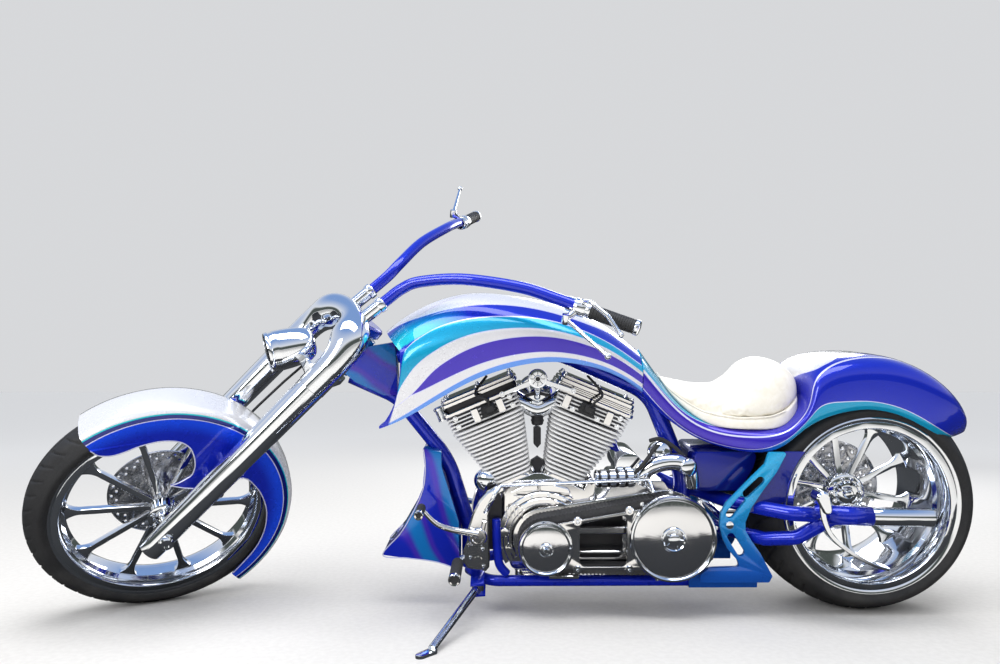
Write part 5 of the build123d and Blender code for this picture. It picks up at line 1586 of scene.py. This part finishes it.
def make_fork_top():
    """Arch over the legs, crown and lower tree on the steering axis, and the headlight with its arm."""
    arch = []
    for i in range(33):
        turn = math.pi * i / 32
        arch.append(FRONT_AXLE + LEG_DIR * (ARCH_FOOT + LEG_HALF * math.sin(turn))
                    + Vector((0, -LEG_HALF * math.cos(turn), 0)))
    feet = [FRONT_AXLE + LEG_DIR * (ARCH_FOOT - 70) + Vector((0, side * LEG_HALF, 0)) for side in (-1, 1)]
    line = [feet[0], *arch, feet[1]]
    girth = []
    for k in range(61):
        share = k / 60
        swell_here = sum(math.exp(-(((share - middle) / 0.085) ** 2)) for middle in (0.31, 0.69))
        girth.append((share, 42.4 + 13.5 * swell_here - 6 * math.exp(-(((share - 0.5) / 0.09) ** 2))))
    body = pipe("arch", line, girth, CHROME, FORK, sides=48, samples=110)
    seat = Matrix((Vector((0, 1, 0)), STEER_FWD, STEER_DIR)).transposed().to_4x4()
    # Crown plate in frame blue: painted reflection of the blue on the arch's inner side
    crown = plate(bmesh.new(), hull_outline((0, 0, 32), (-64, 92, 32), (64, 92, 32)), 0, 36,
                  Matrix.Translation(STEER_BASE + STEER_DIR * CROWN_UP) @ seat, 7)
    own(finish("fork_crown_painted_reflection", crown, FRAME_BLUE, FORK), "fork")
    own(body, "fork", ("fork_arch",))
    body.name = "fork_arch_swept"
    tree = plate(bmesh.new(), hull_outline((0, 0, 36), (-LEG_HALF, 104, 32), (LEG_HALF, 104, 32)), 0, 34,
                 Matrix.Translation(STEER_BASE + STEER_DIR * TREE_UP) @ seat, 6)
    lathe([(0, 30), (16, 30), (16, 184), (0, 184)], facing(STEER_BASE + STEER_DIR * TREE_UP, STEER_DIR), 32, tree)
    outwards(tree)
    own(finish("fork_lower_tree", tree, CHROME, FORK), "fork", ("fork_tree",))
    lamp = facing(LAMP, LAMP_AXIS)
    shell = [(52.7, 8), (52.7, -3), (55, -5.5), (58.5, -4.5), (60, -1), (60, 5), (57.5, 8), (57.6, 14)]
    shell += [(60 * math.cos(a) ** 0.42 + 2 * math.sin(a), 14 + 120 * math.sin(a))
              for a in (math.pi / 2 * k / 22 for k in range(1, 22))]
    shell += [(0, 134.5), (0, 96), (20, 88), (36, 66), (47, 36), (52, 14)]
    bowl = lathe(shell, lamp, 72)
    arm = [LAMP + LAMP_AXIS * 82, Vector((-1690, 0, 806)), STEER_BASE + STEER_DIR * 613 + STEER_FWD * 104]
    lathe([(0, 60), (10, 60), (12, 66), (12, 92), (0, 96)], lamp, 24, bowl)
    outwards(bowl)
    pieces = [finish("bowl", bowl, CHROME, FORK, 40), pipe("arm", arm, [(0, 20), (0.5, 15), (1, 19)], CHROME, FORK)]
    join("headlight_bowl", pieces, "fork", ("headlight_shell",))
    dome = [(0, -9), (14, -8.6), (30, -6.5), (44, -2), (52, 4), (52, 8), (44, 3), (30, -1.5), (14, -3.6), (0, -4)]
    turned_piece("headlight_dome", dome, FORK @ lamp, GLASS, "fork", ("headlight_lens",))


def make_wheel_trim():
    """Rounded rim lips, hub flanges with their screws, and the axle's end caps."""
    for label, place, (rim, half), hub, face, screw_count in (
        ("front", FRONT_WHEEL, FRONT_RIM, 36, 62, 5), ("rear", REAR_WHEEL, REAR_RIM, 52, -20, 10),
    ):
        body = f"{label}_wheel"
        work = bmesh.new()
        for side in (1, -1):
            lip = Matrix.Diagonal((1, side, 1, 1)) @ SIDE
            lathe([(rim - 3, half - 9), (rim + 14, half - 8), (rim + 17, half - 4), (rim + 16, half + 0.5),
                   (rim + 11, half + 3), (rim + 4, half + 1.5), (rim - 2, half - 3)], lip, 128, work, closed=True)
        lathe([(16, face - 4), (hub + 6, face - 4), (hub + 6, face + 3), (hub + 2, face + 6), (hub * 0.72, face + 8),
               (hub * 0.62, face + 15), (hub * 0.5, face + 17), (16, face + 17)], SIDE, 64, work, closed=True)
        outwards(work)
        own(finish(f"{label}_rim_lips", work, CHROME, place), body)
        screw = bolt_head(5.2, 6)
        bmesh.ops.translate(screw, verts=screw.verts, vec=(0, 0, face + 7))
        screws = grown("hub_screws", screw, RING_OF_PARTS, {"Count": screw_count, "Radius": hub * 0.86}, CHROME,
                       place @ SIDE)
        screws.name = f"{label}_hub_screws"
        own(screws, body)
        # Dark discs for the holes in the hub flange: painted shade
        holes = grown("hub_holes", lathe([(0, face + 13), (4, face + 13), (4, face + 17.4), (0, face + 17.4)],
                                         Matrix(), 16), RING_OF_PARTS, {"Count": 5, "Radius": hub * 0.56},
                      DARK_METAL_AND_SHADE, place @ SIDE)
        holes.name = f"{label}_hub_holes"
        own(holes, body)
        cap = [(0, face + 14), (15.5, face + 14), (15.5, face + 22), (12, face + 26), (0, face + 28)]
        turned_piece(f"{label}_hub_cap", cap, place @ SIDE, CHROME, body)
    for side in (1, -1):
        nut = [(0, 176), (20, 176), (21, 179), (21, 186), (17, 190), (10, 191), (10, 187), (0, 187)]
        turned_piece(f"front_axle_nut_{'left' if side > 0 else 'right'}", nut,
                     FRONT_WHEEL @ Matrix.Rotation(0 if side > 0 else math.pi, 4, "Z") @ SIDE, CHROME, "fork")


def make_rear_details():
    """Blue panel inside the strut, and the bent strap with its round head on the collector."""
    inner_edge = [REAR_AXLE + arc_point(262, angle) for angle in (141, 148, 155, 162, 169, 176)]
    panel = [(p.x, p.z) for p in inner_edge] + [(-376, 318), (-363, 340), (-332, 387), (-292, 442), (-262, 500)]
    obj = finish("rear_inner_panel", plate(bmesh.new(), panel, 156, 160, SIDE, 1.5), DEEP_PAINT)
    own(obj, "root")
    strap = blade_outline([(-209, 398), (-206, 350), (-187, 300), (-150, 262), (-105, 232), (-62, 210), (-23, 198)],
                          [(0, 9), (0.3, 7), (1, 4.2)])
    work = plate(bmesh.new(), strap, 248, 282, SIDE, 2)
    plate(work, hull_outline((-207, 396, 19), (-196, 366, 14)), 240, 288, SIDE, 5)
    outwards(work)
    own(finish("collector_strap", work, CHROME), "root", ("tail_bracket",))


def make_chin_beads():
    """Pale bead along the fairing's rear and front edges: painted highlight of its edges."""
    edge = [(-1317, 491), (-1312, 442), (-1318, 375), (-1344, 311), (-1387, 237), (-1442, 170), (-1366, 160),
            (-1281, 148), (-1212, 125)]
    pieces = [pipe("bead", [(x + 2, side * 70.6, z) for x, z in edge], 1.6, EDGE_HIGHLIGHT, sides=8, samples=90)
              for side in (-1, 1)]
    join("chin_edge_highlight_beads", pieces, "root")


make_tank()
make_tail()
make_front_fender()
make_handlebars()
make_tyre("front_wheel", FRONT_WHEEL, FRONT_RADIUS, 60, FRONT_RIM, (48, 325), front_groove)
make_tyre("rear_wheel", REAR_WHEEL, REAR_RADIUS, 150, REAR_RIM, (125, 305), rear_groove)
make_seat()
for sign, label in ((-1, "front"), (1, "rear")):
    make_cylinder(sign, label)
make_intake()
make_primary()
make_crankcase_covers()
make_starter_details()
make_controls()
make_fork_top()
make_wheel_trim()
make_rear_details()
make_chin_beads()

# CAD nodes that keep their shape: body, material and width of the rounded edges in millimetres
LOOKS = {
    "root": {
        "frame_neck": (SWIRL_PAINT, 3), "frame_backbone": (FRAME_BLUE, 0), "frame_downtube": (FRAME_BLUE, 0),
        "struts": (STRUT_BLUE, 2.5), "chin_fairing": (SWIRL_PAINT, 2), "crankcase": (POLISHED, 3),
        "primary_frame": (POLISHED, 1.5), "gearbox": (ALLOY, 3), "starter": (CHROME, 4), "oil_tank": (DEEP_PAINT, 4),
        "swingarm": (CHROME, 3), "final_belt": (BELT, 1), "rear_caliper": (CHROME, 3), "exhaust_pipes": (FRAME_BLUE, 0),
        "exhaust_tip": (CHROME, 1), "shift_rod": (CHROME, 0), "rails": (FRAME_BLUE, 1),
    },
    "fork": {
        "fork_legs": (CHROME, 1.5), "front_axle": (CHROME, 1), "levers": (CHROME, 1), "front_caliper": (CHROME, 3),
        "brake_hose": (BLACK_RUBBER, 0),
    },
    "front_wheel": {"front_wheel": (CHROME, 2), "front_disc": (STEEL, 0.5)},
    "rear_wheel": {"rear_wheel": (CHROME, 2), "rear_disc": (STEEL, 0.5), "rear_axle": (CHROME, 1)},
    "side_stand": {"side_stand": (CHROME, 2)},
}
for body, looks in LOOKS.items():
    for name, (material, width) in looks.items():
        dressed(name, material, body, width)


# Floor and soft studio light
def floor_material():
    """Pale, slightly mottled studio floor; plated parts mirror it painted dark beyond a ragged line, a painted
    reflection of shaded ground.
    """
    material, tree, shader = new_material("studio_floor", **{"Specular IOR Level": 0.05})
    grain = use(tree, GRAIN, {"Scale": 60.0, "Low": 0.85, "High": 0.95})
    tone = blend(tree, ramp(tree, grain["Height"], 0.35, 0.65), rgb(0.66, 0.65, 0.635), rgb(0.70, 0.69, 0.675))
    place = node(tree, "ShaderNodeTexCoord").outputs["Object"]
    reach = node(tree, "ShaderNodeVectorMath", {0: place}, operation="LENGTH").outputs["Value"]
    tone = blend(tree, ramp(tree, reach, 1.6, 7.0, smooth=True), tone, rgb(0.93, 0.935, 0.94))
    away = node(tree, "ShaderNodeSeparateXYZ", {"Vector": place}).outputs["Y"]
    ragged = node(tree, "ShaderNodeTexNoise", {"Vector": place, "Scale": 3.5, "Detail": 5.0}).outputs["Fac"]
    edge = maths(tree, "ADD", away, maths(tree, "MULTIPLY", maths(tree, "SUBTRACT", ragged, 0.5), 0.5))
    # Painted reflection: the floor as glossy rays see it, dark past a ragged line across it
    mirrored = blend(tree, ramp(tree, edge, -0.85, -0.78), rgb(0.72, 0.70, 0.66), rgb(0.035, 0.037, 0.04))
    mirrored_ray = node(tree, "ShaderNodeLightPath").outputs["Is Glossy Ray"]
    tree.links.new(blend(tree, mirrored_ray, tone, mirrored), shader.inputs["Base Color"])
    tree.links.new(grain["Value"], shader.inputs["Roughness"])
    return material


floor_mesh = bpy.data.meshes.new("floor")
floor_mesh.from_pydata([(-40, -40, 0), (40, -40, 0), (40, 40, 0), (-40, 40, 0)], [], [(0, 1, 2, 3)])
floor_mesh.materials.append(floor_material())
floor = link(bpy.data.objects.new("floor", floor_mesh))

world = bpy.data.worlds.new("studio")
bpy.context.scene.world = world
world.use_nodes = True
sky = world.node_tree
direction = node(sky, "ShaderNodeTexCoord").outputs["Generated"]
height = node(sky, "ShaderNodeSeparateXYZ", {"Vector": direction}).outputs["Z"]
dome = blend(sky, ramp(sky, height, 0.25, 0.8), rgb(0.95, 0.97, 1.0), rgb(0.26, 0.42, 0.78))
dark_band = maths(sky, "MULTIPLY", ramp(sky, height, -0.02, 0.01), ramp(sky, height, 0.30, 0.20))
mirrored_dome = blend(sky, maths(sky, "MULTIPLY", dark_band, 0.94), dome, rgb(0.035, 0.05, 0.04))
paths = node(sky, "ShaderNodeLightPath").outputs
reflected = blend(sky, paths["Is Glossy Ray"], rgb(0.86, 0.87, 0.89), mirrored_dome)
seen = blend(sky, paths["Is Camera Ray"], reflected, rgb(0.80, 0.81, 0.83))
background = sky.nodes["Background"]
sky.links.new(seen, background.inputs["Color"])
background.inputs["Strength"].default_value = 0.85


def softbox(name, place, aim, size, power):
    """Large area light aimed at a point."""
    data = bpy.data.lights.new(name, "AREA")
    data.shape = "RECTANGLE"
    data.size, data.size_y = size
    data.energy = power
    lamp = link(bpy.data.objects.new(name, data))
    lamp.location = place
    lamp.rotation_euler = (Vector(aim) - Vector(place)).to_track_quat("-Z", "Y").to_euler()


softbox("top_softbox", (-0.3, -1.0, 3.6), (0, 0, 0.4), (4.5, 1.6), 110)
softbox("front_softbox", (-2.6, -3.4, 2.2), (-0.2, 0, 0.5), (1.6, 1.6), 60)
softbox("back_softbox", (1.5, 3.2, 2.4), (0, 0, 0.6), (2.5, 1.2), 60)
